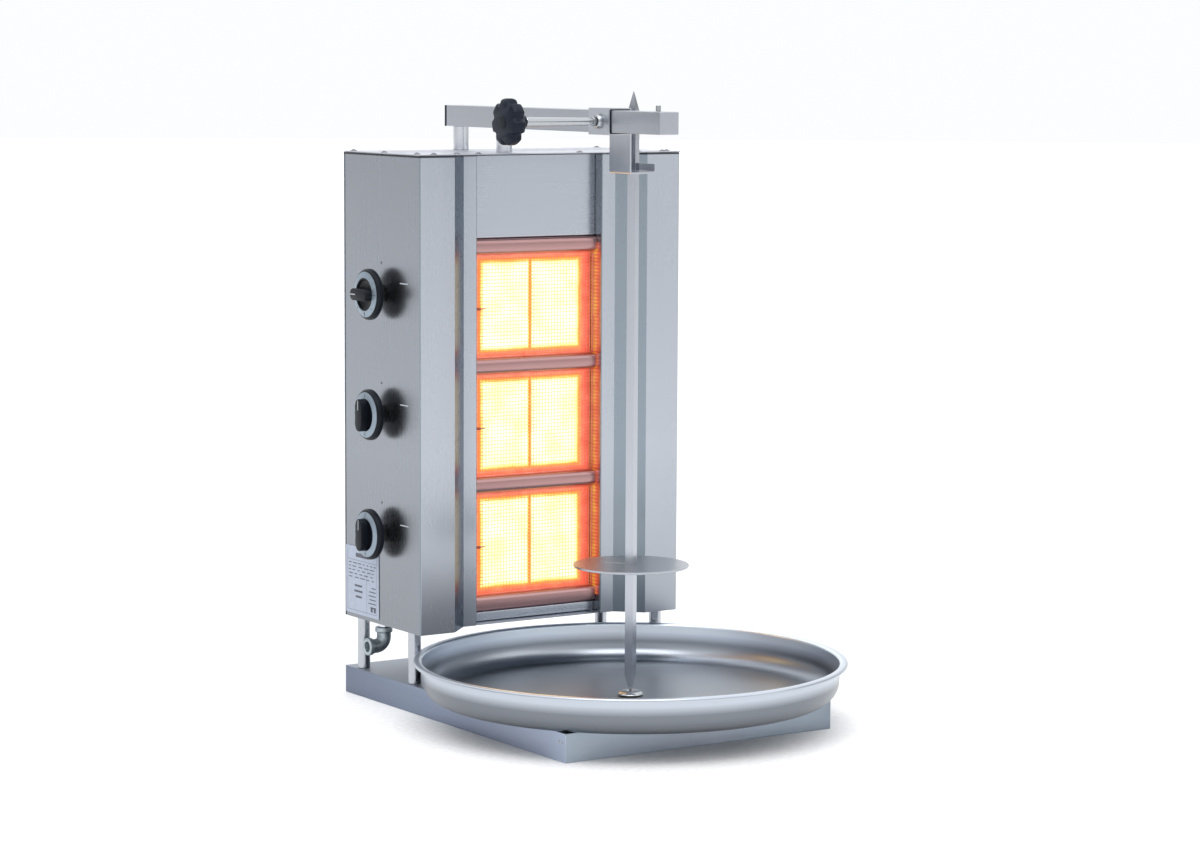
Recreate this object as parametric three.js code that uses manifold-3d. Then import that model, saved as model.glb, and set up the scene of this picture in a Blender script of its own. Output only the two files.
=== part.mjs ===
// Vertical rotisserie broiler (gas doner grill): a sheet-metal burner tower on four posts over a
// base tray, a drip pan with a turning spit, and an overhead arm whose clamped carriage guides the
// top of the spit.
//
// Units are millimetres, +Z is up, the front faces -Y. The origin lies on the ground in the middle
// of the object's footprint, so the spit stands a little in front of it.

import * as THREE from 'three';
import { mergeVertices } from 'three/addons/utils/BufferGeometryUtils.js';
import Module from 'manifold-3d';

const wasm = await Module();
wasm.setup();

// ---------------------------------------------------------------------------------------------
// Driving dimensions
// ---------------------------------------------------------------------------------------------

const GAP = 0.3; // clearance between pieces that touch
const SHEET = 1.5; // stainless sheet thickness

// Burner tower
const TOWER_WIDTH = 434;
const TOWER_DEPTH = 215;
const TOWER_BOTTOM = 113;
const TOWER_TOP = 783;
const BACK_Y = 359;
const FRONT_Y = BACK_Y - TOWER_DEPTH;
const HALF_WIDTH = TOWER_WIDTH / 2;

// The recess in the front: flat flanges, angled walls, narrow strips, then the burner opening
const FLANGE_INNER_X = 161;
const STRIP_OUTER_X = 127;
const OPENING_X = 104.5;
const RECESS_DEPTH = 33;
const STRIP_Y = FRONT_Y + RECESS_DEPTH;
const OPENING_WALL_DEPTH = 27.5;
const BACK_FLANGE = 17;
const BEND_RADIUS = 2.5;

// Burners, from the top one down
const BURNER_PITCH = 170;
const BURNER_COUNT = 3;
const TOP_BURNER_Z = 565.5;
const PLATE_WIDTH = 84;
const PLATE_INNER_X = 1.5; // half the gap between the two plates of a burner
const PLATE_HEIGHT = 132;
const PLATE_THICKNESS = 12;
const PLATE_FRONT_Y = BACK_Y - 155;
const HOUSING_HALF_WIDTH = 94;
const HOUSING_HALF_HEIGHT = 71;
const HOUSING_DEPTH = 54;
const GUARD_Y = BACK_Y - 162;
const RAIL_HEIGHT = 22;
const RAIL_FRONT_Y = BACK_Y - 170;
const BLANK_PANEL_Y = BACK_Y - 164; // front face of the panels above and below the burners
const RAIL_BACK_Y = BACK_Y - 154.5;
const RAIL_NOSE_RADIUS = 7;

// Gas train
const VALVE_Y = BACK_Y - 107;
const VALVE_RISE = 19.5; // a valve sits this much above the middle of its burner
const STEM_RADIUS = 4;
const MANIFOLD_X = -160;
const MANIFOLD_RADIUS = 9;
const INLET = new THREE.Vector2(-185, BACK_Y - 56);
const ELBOW_Z = 73.5;

// Gas knobs
const KNOB_PUSH = 3; // how far a knob is pushed in to open its valve
const KNOB_RADIUS = 36;
const KNOB_SKIRT_BACK = 14.5; // from the side panel to the back of the skirt
const KNOB_SKIRT_DEPTH = 11;
const KNOB_GRIP = { length: 46, width: 18, height: 13 };
const KNOB_TURNED = [true, false, false]; // the top knob stands a quarter turn open

// Base tray and its posts
const BASE_FRONT_Y = -231;
const BASE_HEIGHT = 39;
const BASE_RETURN = 9;
const LEG_RADIUS = 9;
const LEG_X = 204.5;
const LEG_YS = { back: BACK_Y - 32, front: BACK_Y - 177 };

// Spit and drip pan
const SPIT_Y = -59;
const SPIT_SIDE = 12;
const SPIT_TURN = THREE.MathUtils.degToRad(30);
const SPIT_BOTTOM = 43.4;
const SPIT_TOP = 872;
const SPIT_TAPER = 27;
const PAN_RADIUS = 300;
const PAN_RIM_Z = 92.5;
const PAN_WALL_FOOT = 287;
const PAN_FILLET = 27;
const PAN_THICKNESS = 1.6;
const BUSH_RADIUS = 7;
const SOCKET_RADIUS = 18;
const SOCKET_TOP = 47.5;
const DISC_RADIUS = 80;
const DISC_Z = 221;
const DISC_THICKNESS = 3;
const PAN_TRAVEL = { forward: 80, back: 6 };

// Overhead arm
const ARM_X = -42;
const ARM_SIDE = 30;
const ARM_WALL = 2;
const ARM_BOTTOM = 817;
const ARM_MID_Z = ARM_BOTTOM + ARM_SIDE / 2;
const ARM_BACK_Y = BACK_Y - 17;
const ARM_FRONT_Y = BACK_Y - 565;
const ARM_POST_RADIUS = 11.5;
const ARM_POST_YS = { rear: BACK_Y - 33, front: BACK_Y - 152 };
const STOP_PIN_Y = BACK_Y - 539;

// Carriage on the arm
const SLEEVE_SIDE = 36;
const CARRIAGE_BACK_Y = BACK_Y - 398;
const CARRIAGE_FRONT_Y = BACK_Y - 448;
const GUIDE_Z = 761;
const GUIDE_LIP_X = 17;
const GUIDE_LIP_HEIGHT = 13.5;
const GUIDE_THICKNESS = 2.5;
const GUIDE_HOLE_RADIUS = 9.5;
const CLAMP_Y = BACK_Y - 424;
const CLAMP_ROD_RADIUS = 4;
const CLAMP_KNOB_X = -213; // the outer face of the clamp knob
const CLAMP_KNOB_RADIUS = 32;
const CLAMP_LOBES = 7;

// ---------------------------------------------------------------------------------------------
// Materials
// ---------------------------------------------------------------------------------------------

function material(color, roughness, metalness) {
  return new THREE.MeshStandardMaterial({ color, roughness, metalness });
}

const STAINLESS = material(0xaeb4ba, 0.35, 1);
const BRIGHT_STEEL = material(0xc9ccd0, 0.22, 1);
const GALVANISED = material(0x9aa6a8, 0.5, 0.9);
const BRASS = material(0xb5953f, 0.4, 1);
const CERAMIC = material(0xffa640, 0.9, 0);
const HEATED_STEEL = material(0x8c5a4a, 0.45, 0.9);
const BLACK_PLASTIC = material(0x1b1d20, 0.45, 0);
const ALUMINIUM = material(0xd9dcdd, 0.5, 0.6);

// ---------------------------------------------------------------------------------------------
// Geometry helpers
// ---------------------------------------------------------------------------------------------

const AXIS_X = new THREE.Vector3(1, 0, 0);
const AXIS_Y = new THREE.Vector3(0, 1, 0);
const AXIS_Z = new THREE.Vector3(0, 0, 1);

// A block between two opposite corners.
function block([x0, y0, z0], [x1, y1, z1]) {
  const geometry = new THREE.BoxGeometry(x1 - x0, y1 - y0, z1 - z0);
  return geometry.translate((x0 + x1) / 2, (y0 + y1) / 2, (z0 + z1) / 2);
}

// An outline in the XY plane, drawn out from z0 to z1.
function extrudeZ(shape, z0, z1, curveSegments = 6) {
  const options = { depth: z1 - z0, bevelEnabled: false, curveSegments };
  return new THREE.ExtrudeGeometry(shape, options).translate(0, 0, z0);
}

// An outline in the YZ plane, drawn out from x0 to x1.
function extrudeX(shape, x0, x1, curveSegments = 6) {
  const turn = new THREE.Matrix4().makeBasis(AXIS_Y, AXIS_Z, AXIS_X);
  return extrudeZ(shape, x0, x1, curveSegments).applyMatrix4(turn);
}

// An outline in the ZX plane (first number z, second number x), drawn out from y0 to y1.
function extrudeY(shape, y0, y1, curveSegments = 6) {
  const turn = new THREE.Matrix4().makeBasis(AXIS_Z, AXIS_X, AXIS_Y);
  return extrudeZ(shape, y0, y1, curveSegments).applyMatrix4(turn);
}

// A turned piece about the Z axis; profile points are [radius, z]. A profile that starts away from
// the axis closes on itself.
function turned(profile, segments = 32) {
  const closed = profile[0][0] > 0 ? [...profile, profile[0]] : profile;
  const points = closed.map(([radius, z]) => new THREE.Vector2(radius, z));
  return new THREE.LatheGeometry(points, segments).rotateX(Math.PI / 2);
}

// A turned piece whose axis points along -X; profile points are [radius, distance out from x].
function turnedOut(profile, [x, y, z], segments = 32) {
  return turned(profile, segments).rotateY(-Math.PI / 2).translate(x, y, z);
}

// A plain round bar whose axis points along -X, from one distance out to another.
function barOut(radius, [near, far], origin, segments = 16) {
  return turnedOut([[0, near], [radius, near], [radius, far], [0, far]], origin, segments);
}

// A plain round bar along Z.
function post(radius, x, y, z0, z1, segments = 24) {
  return turned([[0, z0], [radius, z0], [radius, z1], [0, z1]], segments).translate(x, y, 0);
}

// A round bar bent along a smooth path.
function pipe(radius, stations, steps, segments = 12) {
  const points = stations.map((station) => new THREE.Vector3(...station));
  const path = new THREE.CatmullRomCurve3(points, false, 'centripetal');
  const circle = new THREE.Shape().absarc(0, 0, radius, 0, 2 * Math.PI);
  const options = { extrudePath: path, steps, bevelEnabled: false, curveSegments: segments / 2 };
  return new THREE.ExtrudeGeometry(circle, options);
}

function rectangle(x0, y0, x1, y1) {
  return [[x0, y0], [x1, y0], [x1, y1], [x0, y1]];
}

function pathOf(points) {
  return points.map(([x, y]) => new THREE.Vector2(x, y));
}

function outline(points, hole) {
  const shape = new THREE.Shape(pathOf(points));
  if (hole) shape.holes.push(new THREE.Path(pathOf(hole)));
  return shape;
}

// Replaces each inner corner of a path by an arc. Each bend states its radius and its number of steps.
function roundCorners(path, bends) {
  return path.flatMap((corner, i) => {
    if (i === 0 || i === path.length - 1) return [corner];
    const { radius, steps } = bends[i - 1];
    const before = path[i - 1].clone().sub(corner).normalize();
    const after = path[i + 1].clone().sub(corner).normalize();
    const halfAngle = Math.acos(THREE.MathUtils.clamp(before.dot(after), -1, 1)) / 2;
    const setback = radius / Math.tan(halfAngle);
    const bisector = before.clone().add(after).normalize();
    const centre = corner.clone().addScaledVector(bisector, radius / Math.sin(halfAngle));
    const start = corner.clone().addScaledVector(before, setback).sub(centre);
    const end = corner.clone().addScaledVector(after, setback).sub(centre);
    const sweep = Math.atan2(start.cross(end), start.dot(end));
    return Array.from({ length: steps + 1 }, (_, step) =>
      start.clone().rotateAround(new THREE.Vector2(), (sweep * step) / steps).add(centre));
  });
}

// The section of a folded sheet. The path is its outer face, and the sheet lies to the path's left.
function sheetSection(points, thickness, bends) {
  const outer = roundCorners(pathOf(points), bends);
  const inner = outer.map((point, i) => {
    const into = point.clone().sub(outer[i - 1] ?? point);
    const onward = (outer[i + 1] ?? point).clone().sub(point);
    const first = (into.length() > 0 ? into : onward).clone().normalize();
    const second = (onward.length() > 0 ? onward : into).clone().normalize();
    const normal = new THREE.Vector2(-first.y, first.x);
    const mitre = normal.clone().add(new THREE.Vector2(-second.y, second.x)).normalize();
    return point.clone().addScaledVector(mitre, thickness / mitre.dot(normal));
  });
  return [...outer, ...inner.reverse()];
}

function foldedSheet(points, thickness = SHEET, radius = BEND_RADIUS) {
  const bends = points.slice(1, -1).map(() => ({ radius, steps: 3 }));
  return new THREE.Shape(sheetSection(points, thickness, bends));
}

function solidOf(geometry) {
  const bare = geometry.clone();
  for (const name of ['normal', 'uv']) bare.deleteAttribute(name);
  const merged = mergeVertices(bare, 1e-4);
  const vertProperties = new Float32Array(merged.attributes.position.array);
  const triVerts = new Uint32Array(withoutSlivers([...merged.index.array]));
  return new wasm.Manifold(new wasm.Mesh({ numProp: 3, vertProperties, triVerts }));
}

// Leaves out the triangles that shrink to a line where a turned profile meets its axis.
function withoutSlivers(indices) {
  const kept = [];
  for (let i = 0; i < indices.length; i += 3) {
    const [a, b, c] = indices.slice(i, i + 3);
    if (a !== b && b !== c && c !== a) kept.push(a, b, c);
  }
  return kept;
}

function geometryOf(solid) {
  const { vertProperties, triVerts } = solid.getMesh();
  const geometry = new THREE.BufferGeometry();
  geometry.setAttribute('position', new THREE.BufferAttribute(new Float32Array(vertProperties), 3));
  geometry.setIndex(new THREE.BufferAttribute(new Uint32Array(triVerts), 1));
  return geometry;
}

function join(first, ...others) {
  return geometryOf(others.reduce((sum, other) => sum.add(solidOf(other)), solidOf(first)));
}

function cut(body, ...tools) {
  return geometryOf(tools.reduce((rest, tool) => rest.subtract(solidOf(tool)), solidOf(body)));
}

// ---------------------------------------------------------------------------------------------
// Scene
// ---------------------------------------------------------------------------------------------

const broiler = new THREE.Group();

function add(name, geometry, surface, parent = broiler) {
  const mesh = new THREE.Mesh(geometry, surface);
  mesh.name = name;
  parent.add(mesh);
  return mesh;
}

function burnerCentre(index) {
  return TOP_BURNER_Z - index * BURNER_PITCH;
}

function valveCentre(index) {
  return burnerCentre(index) + VALVE_RISE;
}

// ---------------------------------------------------------------------------------------------
// Base tray and posts
// ---------------------------------------------------------------------------------------------

// A sheet tray open underneath, its lower edges returned inwards. The slot guides the pan's bush.
function baseTray() {
  const shell = block([-HALF_WIDTH, BASE_FRONT_Y, 0], [HALF_WIDTH, BACK_Y, BASE_HEIGHT]);
  const inside = block(
    [-HALF_WIDTH + SHEET, BASE_FRONT_Y + SHEET, SHEET],
    [HALF_WIDTH - SHEET, BACK_Y - SHEET, BASE_HEIGHT - SHEET],
  );
  const mouth = block(
    [-HALF_WIDTH + BASE_RETURN, BASE_FRONT_Y + BASE_RETURN, -1],
    [HALF_WIDTH - BASE_RETURN, BACK_Y - BASE_RETURN, SHEET + 1],
  );
  const slotHalfWidth = BUSH_RADIUS + 0.5;
  const slot = block(
    [-slotHalfWidth, SPIT_Y - PAN_TRAVEL.forward - slotHalfWidth, BASE_HEIGHT - 5],
    [slotHalfWidth, SPIT_Y + PAN_TRAVEL.back + slotHalfWidth, BASE_HEIGHT + 1],
  );
  return cut(shell, inside, mouth, slot);
}

add('base_tray', baseTray(), STAINLESS);
for (const [end, y] of Object.entries(LEG_YS)) {
  for (const [side, x] of [['left', -LEG_X], ['right', LEG_X]]) {
    const leg = post(LEG_RADIUS, x, y, BASE_HEIGHT + GAP, TOWER_BOTTOM - GAP);
    add(`leg_post_${end}_${side}`, leg, BRIGHT_STEEL);
  }
}

// ---------------------------------------------------------------------------------------------
// Burner tower casing
// ---------------------------------------------------------------------------------------------

const PANEL_TOP = TOWER_TOP - SHEET - GAP;
const SIDE_BACK_Y = BACK_Y - SHEET - GAP;

// Each side is one folded sheet: back flange, side wall, front flange, angled wall, strip and the
// wall of the burner opening.
function sidePanel(side) {
  const path = [
    [HALF_WIDTH - BACK_FLANGE, SIDE_BACK_Y],
    [HALF_WIDTH, SIDE_BACK_Y],
    [HALF_WIDTH, FRONT_Y],
    [FLANGE_INNER_X, FRONT_Y],
    [STRIP_OUTER_X, STRIP_Y],
    [OPENING_X, STRIP_Y],
    [OPENING_X, STRIP_Y + OPENING_WALL_DEPTH],
  ].map(([x, y]) => [side * x, y]);
  const section = foldedSheet(side < 0 ? path : path.reverse());
  return extrudeZ(section, TOWER_BOTTOM, PANEL_TOP);
}

// Cutting blocks for a row of slots through a level sheet.
function slotRow(xs, [y0, y1], [z0, z1], halfWidth) {
  return xs.map((x) => block([x - halfWidth, y0, z0 - 1], [x + halfWidth, y1, z1 + 1]));
}

function range(start, end, step) {
  return Array.from({ length: Math.floor((end - start) / step) + 1 }, (_, i) => start + i * step);
}

// The back is a flat cover with two columns of air slots.
function backPanel() {
  const slots = range(180, 700, 52).flatMap((z) =>
    [-95, 95].map((x) => block([x - 45, BACK_Y - SHEET - 1, z - 3], [x + 45, BACK_Y + 1, z + 3])));
  const plate = block([-HALF_WIDTH, BACK_Y - SHEET, TOWER_BOTTOM], [HALF_WIDTH, BACK_Y, PANEL_TOP]);
  return cut(plate, ...slots);
}

// The floor of the tower follows the recess and reaches forwards between the opening's walls.
function bottomPanel() {
  const inset = SHEET + 3 * GAP;
  const wallEnd = STRIP_Y + OPENING_WALL_DEPTH + inset;
  const right = [
    [HALF_WIDTH - inset, SIDE_BACK_Y - inset],
    [HALF_WIDTH - inset, FRONT_Y + inset],
    [FLANGE_INNER_X + 1, FRONT_Y + inset],
    [STRIP_OUTER_X + 1, STRIP_Y + inset],
    [OPENING_X + inset, STRIP_Y + inset],
    [OPENING_X + inset, wallEnd],
    [OPENING_X - inset, wallEnd],
    [OPENING_X - inset, STRIP_Y + inset],
  ];
  const left = right.map(([x, y]) => [-x, y]).reverse();
  const level = [TOWER_BOTTOM, TOWER_BOTTOM + SHEET];
  const airSlots = slotRow(range(-80, 180, 26), [BACK_Y - 95, BACK_Y - 45], level, 4);
  const inletHole = post(14, INLET.x, INLET.y, level[0] - 1, level[1] + 1);
  return cut(extrudeZ(outline([...right, ...left]), ...level), inletHole, ...airSlots);
}

function topLid() {
  const level = [TOWER_TOP - SHEET, TOWER_TOP];
  const hotAirSlots = [...range(-190, -80, 22), ...range(8, 190, 22)];
  const slots = slotRow(hotAirSlots, [BACK_Y - 130, BACK_Y - 50], level, 4);
  return cut(block([-HALF_WIDTH, FRONT_Y, level[0]], [HALF_WIDTH, BACK_Y, level[1]]), ...slots);
}

// Blanking panels above and below the burners sit between the opening walls.
function blankPanel(z0, z1) {
  const halfWidth = OPENING_X - 2 * GAP;
  const flange = 12;
  const face = BLANK_PANEL_Y;
  const section = foldedSheet([[face + flange, z1], [face, z1], [face, z0], [face + flange, z0]]);
  return extrudeX(section, -halfWidth, halfWidth);
}

// A cross rail is a channel with a rounded nose, open to the back.
function crossRail(top) {
  const halfWidth = OPENING_X - 2 * GAP;
  const bottom = top - RAIL_HEIGHT;
  const path = [
    [RAIL_BACK_Y, top], [RAIL_FRONT_Y, top], [RAIL_FRONT_Y, bottom], [RAIL_BACK_Y, bottom],
  ];
  return extrudeX(foldedSheet(path, SHEET, RAIL_NOSE_RADIUS), -halfWidth, halfWidth);
}

const RAIL_CLEARANCE = (BURNER_PITCH + RAIL_HEIGHT) / 2; // from a burner's middle to the rail top above
const RAIL_TOPS = range(0, BURNER_COUNT, 1).map((i) => burnerCentre(i) + RAIL_CLEARANCE);
const UPPER_RAIL_TOP = RAIL_TOPS[0];
const LOWER_RAIL_BOTTOM = RAIL_TOPS[BURNER_COUNT] - RAIL_HEIGHT;

// The left side has a hole for each valve stem.
function stemHoles() {
  return range(0, BURNER_COUNT - 1, 1).map((index) =>
    barOut(STEM_RADIUS + 0.5, [-5, 5], [-HALF_WIDTH, VALVE_Y, valveCentre(index)]));
}

add('left_side_panel', cut(sidePanel(-1), ...stemHoles()), STAINLESS);
add('right_side_panel', sidePanel(1), STAINLESS);
add('back_panel', backPanel(), STAINLESS);
add('bottom_panel', bottomPanel(), STAINLESS);
add('top_lid', topLid(), STAINLESS);
add('upper_front_panel', blankPanel(UPPER_RAIL_TOP + GAP, PANEL_TOP - GAP), STAINLESS);
add('lower_front_panel', blankPanel(TOWER_BOTTOM + SHEET + GAP, LOWER_RAIL_BOTTOM - GAP), STAINLESS);
RAIL_TOPS.forEach((top, i) => add(`cross_rail_${i + 1}`, crossRail(top), HEATED_STEEL));

// ---------------------------------------------------------------------------------------------
// Infrared burners
// ---------------------------------------------------------------------------------------------

// A pressed box whose back tapers. A flat flange round its open front frames the two ceramic plates
// and fills the space between the opening's walls. Its upper and lower edges end behind the rails.
function burnerHousing(centre) {
  const front = PLATE_FRONT_Y + 1;
  const back = PLATE_FRONT_Y + HOUSING_DEPTH;
  const taper = 20;
  const section = (wall) => outline([
    [front - (wall ? 1 : 0), -HOUSING_HALF_HEIGHT + wall],
    [back - taper, -HOUSING_HALF_HEIGHT + wall],
    [back - wall, -HOUSING_HALF_HEIGHT + taper + wall],
    [back - wall, HOUSING_HALF_HEIGHT - taper - wall],
    [back - taper, HOUSING_HALF_HEIGHT - wall],
    [front - (wall ? 1 : 0), HOUSING_HALF_HEIGHT - wall],
  ]);
  const wall = 2;
  const shell = extrudeX(section(0), -HOUSING_HALF_WIDTH, HOUSING_HALF_WIDTH);
  const inside = extrudeX(section(wall), -HOUSING_HALF_WIDTH + wall, HOUSING_HALF_WIDTH - wall);
  const flangeHeight = (BURNER_PITCH - RAIL_HEIGHT) / 2 + 5;
  const flangeWidth = OPENING_X - 2 * GAP;
  const windowHeight = PLATE_HEIGHT / 2 + GAP;
  const windowWidth = PLATE_INNER_X + PLATE_WIDTH + GAP;
  const rim = rectangle(-flangeHeight, -flangeWidth, flangeHeight, flangeWidth);
  const window = rectangle(-windowHeight, -windowWidth, windowHeight, windowWidth);
  const flange = extrudeY(outline(rim, window), front, front + wall);
  return join(cut(shell, inside), flange).translate(0, 0, centre);
}

function ceramicPlate(side, centre) {
  const inner = side * PLATE_INNER_X;
  const [x0, x1] = [inner, inner + side * PLATE_WIDTH].sort((a, b) => a - b);
  return block(
    [x0, PLATE_FRONT_Y, centre - PLATE_HEIGHT / 2],
    [x1, PLATE_FRONT_Y + PLATE_THICKNESS, centre + PLATE_HEIGHT / 2],
  );
}

// A flat wire guard: a frame with a coarse grid of square windows.
function guardMesh(centre) {
  const halfWidth = OPENING_X - 2 * GAP;
  const halfHeight = (BURNER_PITCH - RAIL_HEIGHT) / 2 - 0.5;
  const border = 3;
  const columns = 6;
  const rows = 4;
  const bar = 2;
  const cellWidth = (2 * (halfWidth - border) + bar) / columns;
  const cellHeight = (2 * (halfHeight - border) + bar) / rows;
  const back = GUARD_Y + 1.2;
  const windows = range(0, columns - 1, 1).flatMap((column) => range(0, rows - 1, 1).map((row) => {
    const x = -halfWidth + border + column * cellWidth;
    const z = -halfHeight + border + row * cellHeight;
    return block([x, GUARD_Y - 1, z], [x + cellWidth - bar, back + 1, z + cellHeight - bar]);
  }));
  const frame = block([-halfWidth, GUARD_Y, -halfHeight], [halfWidth, back, halfHeight]);
  return cut(frame, ...windows).translate(0, 0, centre);
}

for (let i = 0; i < BURNER_COUNT; i += 1) {
  const centre = burnerCentre(i);
  add(`burner_housing_${i + 1}`, burnerHousing(centre), GALVANISED);
  add(`ceramic_plate_${i + 1}_left`, ceramicPlate(-1, centre), CERAMIC);
  add(`ceramic_plate_${i + 1}_right`, ceramicPlate(1, centre), CERAMIC);
  add(`guard_mesh_${i + 1}`, guardMesh(centre), HEATED_STEEL);
}

// The heat shield stands behind the burners, folded forwards at both edges.
const SHIELD_Y = BACK_Y - 84;
const shieldPath = [[-98, SHIELD_Y - 12], [-98, SHIELD_Y], [98, SHIELD_Y], [98, SHIELD_Y - 12]];
const shield = extrudeZ(foldedSheet(shieldPath.reverse()), TOWER_BOTTOM + 20, TOWER_TOP - 20);
add('heat_shield', shield, GALVANISED);

// ---------------------------------------------------------------------------------------------
// Gas train
// ---------------------------------------------------------------------------------------------

const PANEL_FACE_X = -HALF_WIDTH;
const PANEL_INSIDE_X = PANEL_FACE_X + SHEET;

// The valve body stands against the inside of the side panel and reaches the manifold.
function gasValve(index) {
  const reach = MANIFOLD_X - MANIFOLD_RADIUS - GAP - PANEL_INSIDE_X;
  const profile = [
    [STEM_RADIUS + 0.5, -GAP], [13, -GAP], [13, -18], [9, -22], [9, -32], [6, -34],
    [6, -reach], [0, -reach], [0, -24], [STEM_RADIUS + 0.5, -24],
  ].reverse();
  return turnedOut(profile, [PANEL_INSIDE_X, VALVE_Y, valveCentre(index)], 24);
}

// The stem passes through the side panel into the knob.
function valveStem(index) {
  return barOut(STEM_RADIUS, [-18, 16], [PANEL_FACE_X, VALVE_Y, valveCentre(index)]);
}

// A round skirt on a narrow hub, with a raised ring around the grip bar.
function gasKnob(index) {
  const skirt = KNOB_SKIRT_BACK;
  const face = skirt + KNOB_SKIRT_DEPTH;
  const turnedBody = turned([
    [STEM_RADIUS + GAP, 4], [13, 4], [14, skirt], [KNOB_RADIUS - 2, skirt], [KNOB_RADIUS, skirt + 2],
    [KNOB_RADIUS, face - 3], [KNOB_RADIUS - 2.5, face], [23, face + 2.5], [21, face + 1],
    [0, face + 1], [0, 17], [STEM_RADIUS + GAP, 17],
  ], 24);
  const { length, width, height } = KNOB_GRIP;
  const bar = new THREE.Shape();
  bar.absarc(0, length / 2 - width / 2, width / 2, 0, Math.PI);
  bar.absarc(0, -length / 2 + width / 2, width / 2, Math.PI, 2 * Math.PI);
  const turn = KNOB_TURNED[index] ? 0 : Math.PI / 2;
  const grip = extrudeZ(bar, face - 1, face + height, 4).rotateZ(turn);
  const knob = join(turnedBody, grip).rotateY(-Math.PI / 2);
  return knob.translate(PANEL_FACE_X, VALVE_Y, valveCentre(index));
}

// The feed pipe runs from under the valve to the left end of its burner.
function feedPipe(index) {
  const valve = valveCentre(index);
  const burner = burnerCentre(index);
  const injectorY = BACK_Y - 128;
  return pipe(3.5, [
    [PANEL_INSIDE_X + 9, VALVE_Y, valve - 13 - GAP],
    [PANEL_INSIDE_X + 9, VALVE_Y, valve - 26],
    [PANEL_INSIDE_X + 14, VALVE_Y - 8, valve - 38],
    [PANEL_INSIDE_X + 30, injectorY, valve - 44],
    [MANIFOLD_X, injectorY, burner - 28],
    [MANIFOLD_X + 25, injectorY, burner - 10],
    [-HOUSING_HALF_WIDTH - 20, injectorY, burner],
    [-HOUSING_HALF_WIDTH - GAP, injectorY, burner],
  ], 14, 8);
}

const MANIFOLD_BOTTOM = 170;
const manifold = post(MANIFOLD_RADIUS, MANIFOLD_X, VALVE_Y, MANIFOLD_BOTTOM, 630, 16);
add('gas_manifold', manifold, GALVANISED);

const inletPipe = pipe(8, [
  [INLET.x, INLET.y, ELBOW_Z + 27 + GAP],
  [INLET.x, INLET.y, TOWER_BOTTOM + 8],
  [INLET.x + 6, INLET.y - 16, TOWER_BOTTOM + 28],
  [MANIFOLD_X - 4, VALVE_Y + 14, MANIFOLD_BOTTOM - 22],
  [MANIFOLD_X, VALVE_Y, MANIFOLD_BOTTOM - 8],
  [MANIFOLD_X, VALVE_Y, MANIFOLD_BOTTOM - GAP],
], 12, 10);
add('gas_inlet_pipe', inletPipe, BRIGHT_STEEL);

// The elbow has a beaded socket at each end and is open towards the supply hose.
function inletElbow() {
  const bore = 7.5;
  const socket = (length) => [
    [0, 0], [10.5, 0], [10.5, length - 8], [12.5, length - 6], [12.5, length], [0, length],
  ];
  const upright = turned(socket(27), 16);
  const branch = turned(socket(28), 16).rotateY(-Math.PI / 2);
  const knuckle = new THREE.SphereGeometry(10.5, 16, 8).rotateX(Math.PI / 2);
  const supplyBore = turned([[0, 4], [bore, 4], [bore, 40], [0, 40]], 16).rotateY(-Math.PI / 2);
  const elbow = cut(join(upright, branch, knuckle), supplyBore);
  return elbow.translate(INLET.x, INLET.y, ELBOW_Z);
}
add('gas_inlet_elbow', inletElbow(), GALVANISED);

for (let i = 0; i < BURNER_COUNT; i += 1) {
  add(`gas_valve_${i + 1}`, gasValve(i), BRASS);
  add(`valve_stem_${i + 1}`, valveStem(i), BRIGHT_STEEL);
  add(`gas_knob_${i + 1}`, gasKnob(i), BLACK_PLASTIC);
  add(`burner_feed_pipe_${i + 1}`, feedPipe(i), GALVANISED);
}

// ---------------------------------------------------------------------------------------------
// Rating plate
// ---------------------------------------------------------------------------------------------

const ratingPlate = block(
  [PANEL_FACE_X - GAP - 0.8, BACK_Y - 99, 119],
  [PANEL_FACE_X - GAP, BACK_Y - 4, 217],
);
add('rating_plate', ratingPlate, ALUMINIUM);

// ---------------------------------------------------------------------------------------------
// Overhead arm
// ---------------------------------------------------------------------------------------------

const ARM_TOP = ARM_BOTTOM + ARM_SIDE;

function armTube() {
  const half = ARM_SIDE / 2;
  const tube = block([ARM_X - half, ARM_FRONT_Y, ARM_BOTTOM], [ARM_X + half, ARM_BACK_Y, ARM_TOP]);
  const bore = block(
    [ARM_X - half + ARM_WALL, ARM_FRONT_Y + ARM_WALL, ARM_BOTTOM + ARM_WALL],
    [ARM_X + half - ARM_WALL, ARM_BACK_Y + 1, ARM_TOP - ARM_WALL],
  );
  return cut(tube, bore);
}

function armEndCap() {
  const half = ARM_SIDE / 2;
  const plug = half - ARM_WALL - GAP;
  const flange = block(
    [ARM_X - half, ARM_BACK_Y + GAP, ARM_BOTTOM],
    [ARM_X + half, ARM_BACK_Y + 5, ARM_TOP],
  );
  const insert = block(
    [ARM_X - plug, ARM_BACK_Y - 14, ARM_MID_Z - plug],
    [ARM_X + plug, ARM_BACK_Y + 1, ARM_MID_Z + plug],
  );
  return join(flange, insert);
}

add('arm_tube', armTube(), STAINLESS);
add('arm_end_cap', armEndCap(), BLACK_PLASTIC);
for (const [end, y] of Object.entries(ARM_POST_YS)) {
  const standoff = post(ARM_POST_RADIUS, ARM_X, y, TOWER_TOP + GAP, ARM_BOTTOM - GAP);
  add(`arm_post_${end}`, standoff, BRIGHT_STEEL);
}
add('arm_stop_pin', post(3.5, ARM_X, STOP_PIN_Y, ARM_TOP + GAP, ARM_TOP + 8, 16), BRIGHT_STEEL);

// ---------------------------------------------------------------------------------------------
// Carriage: sleeve, spit guide and clamp
// ---------------------------------------------------------------------------------------------

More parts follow.
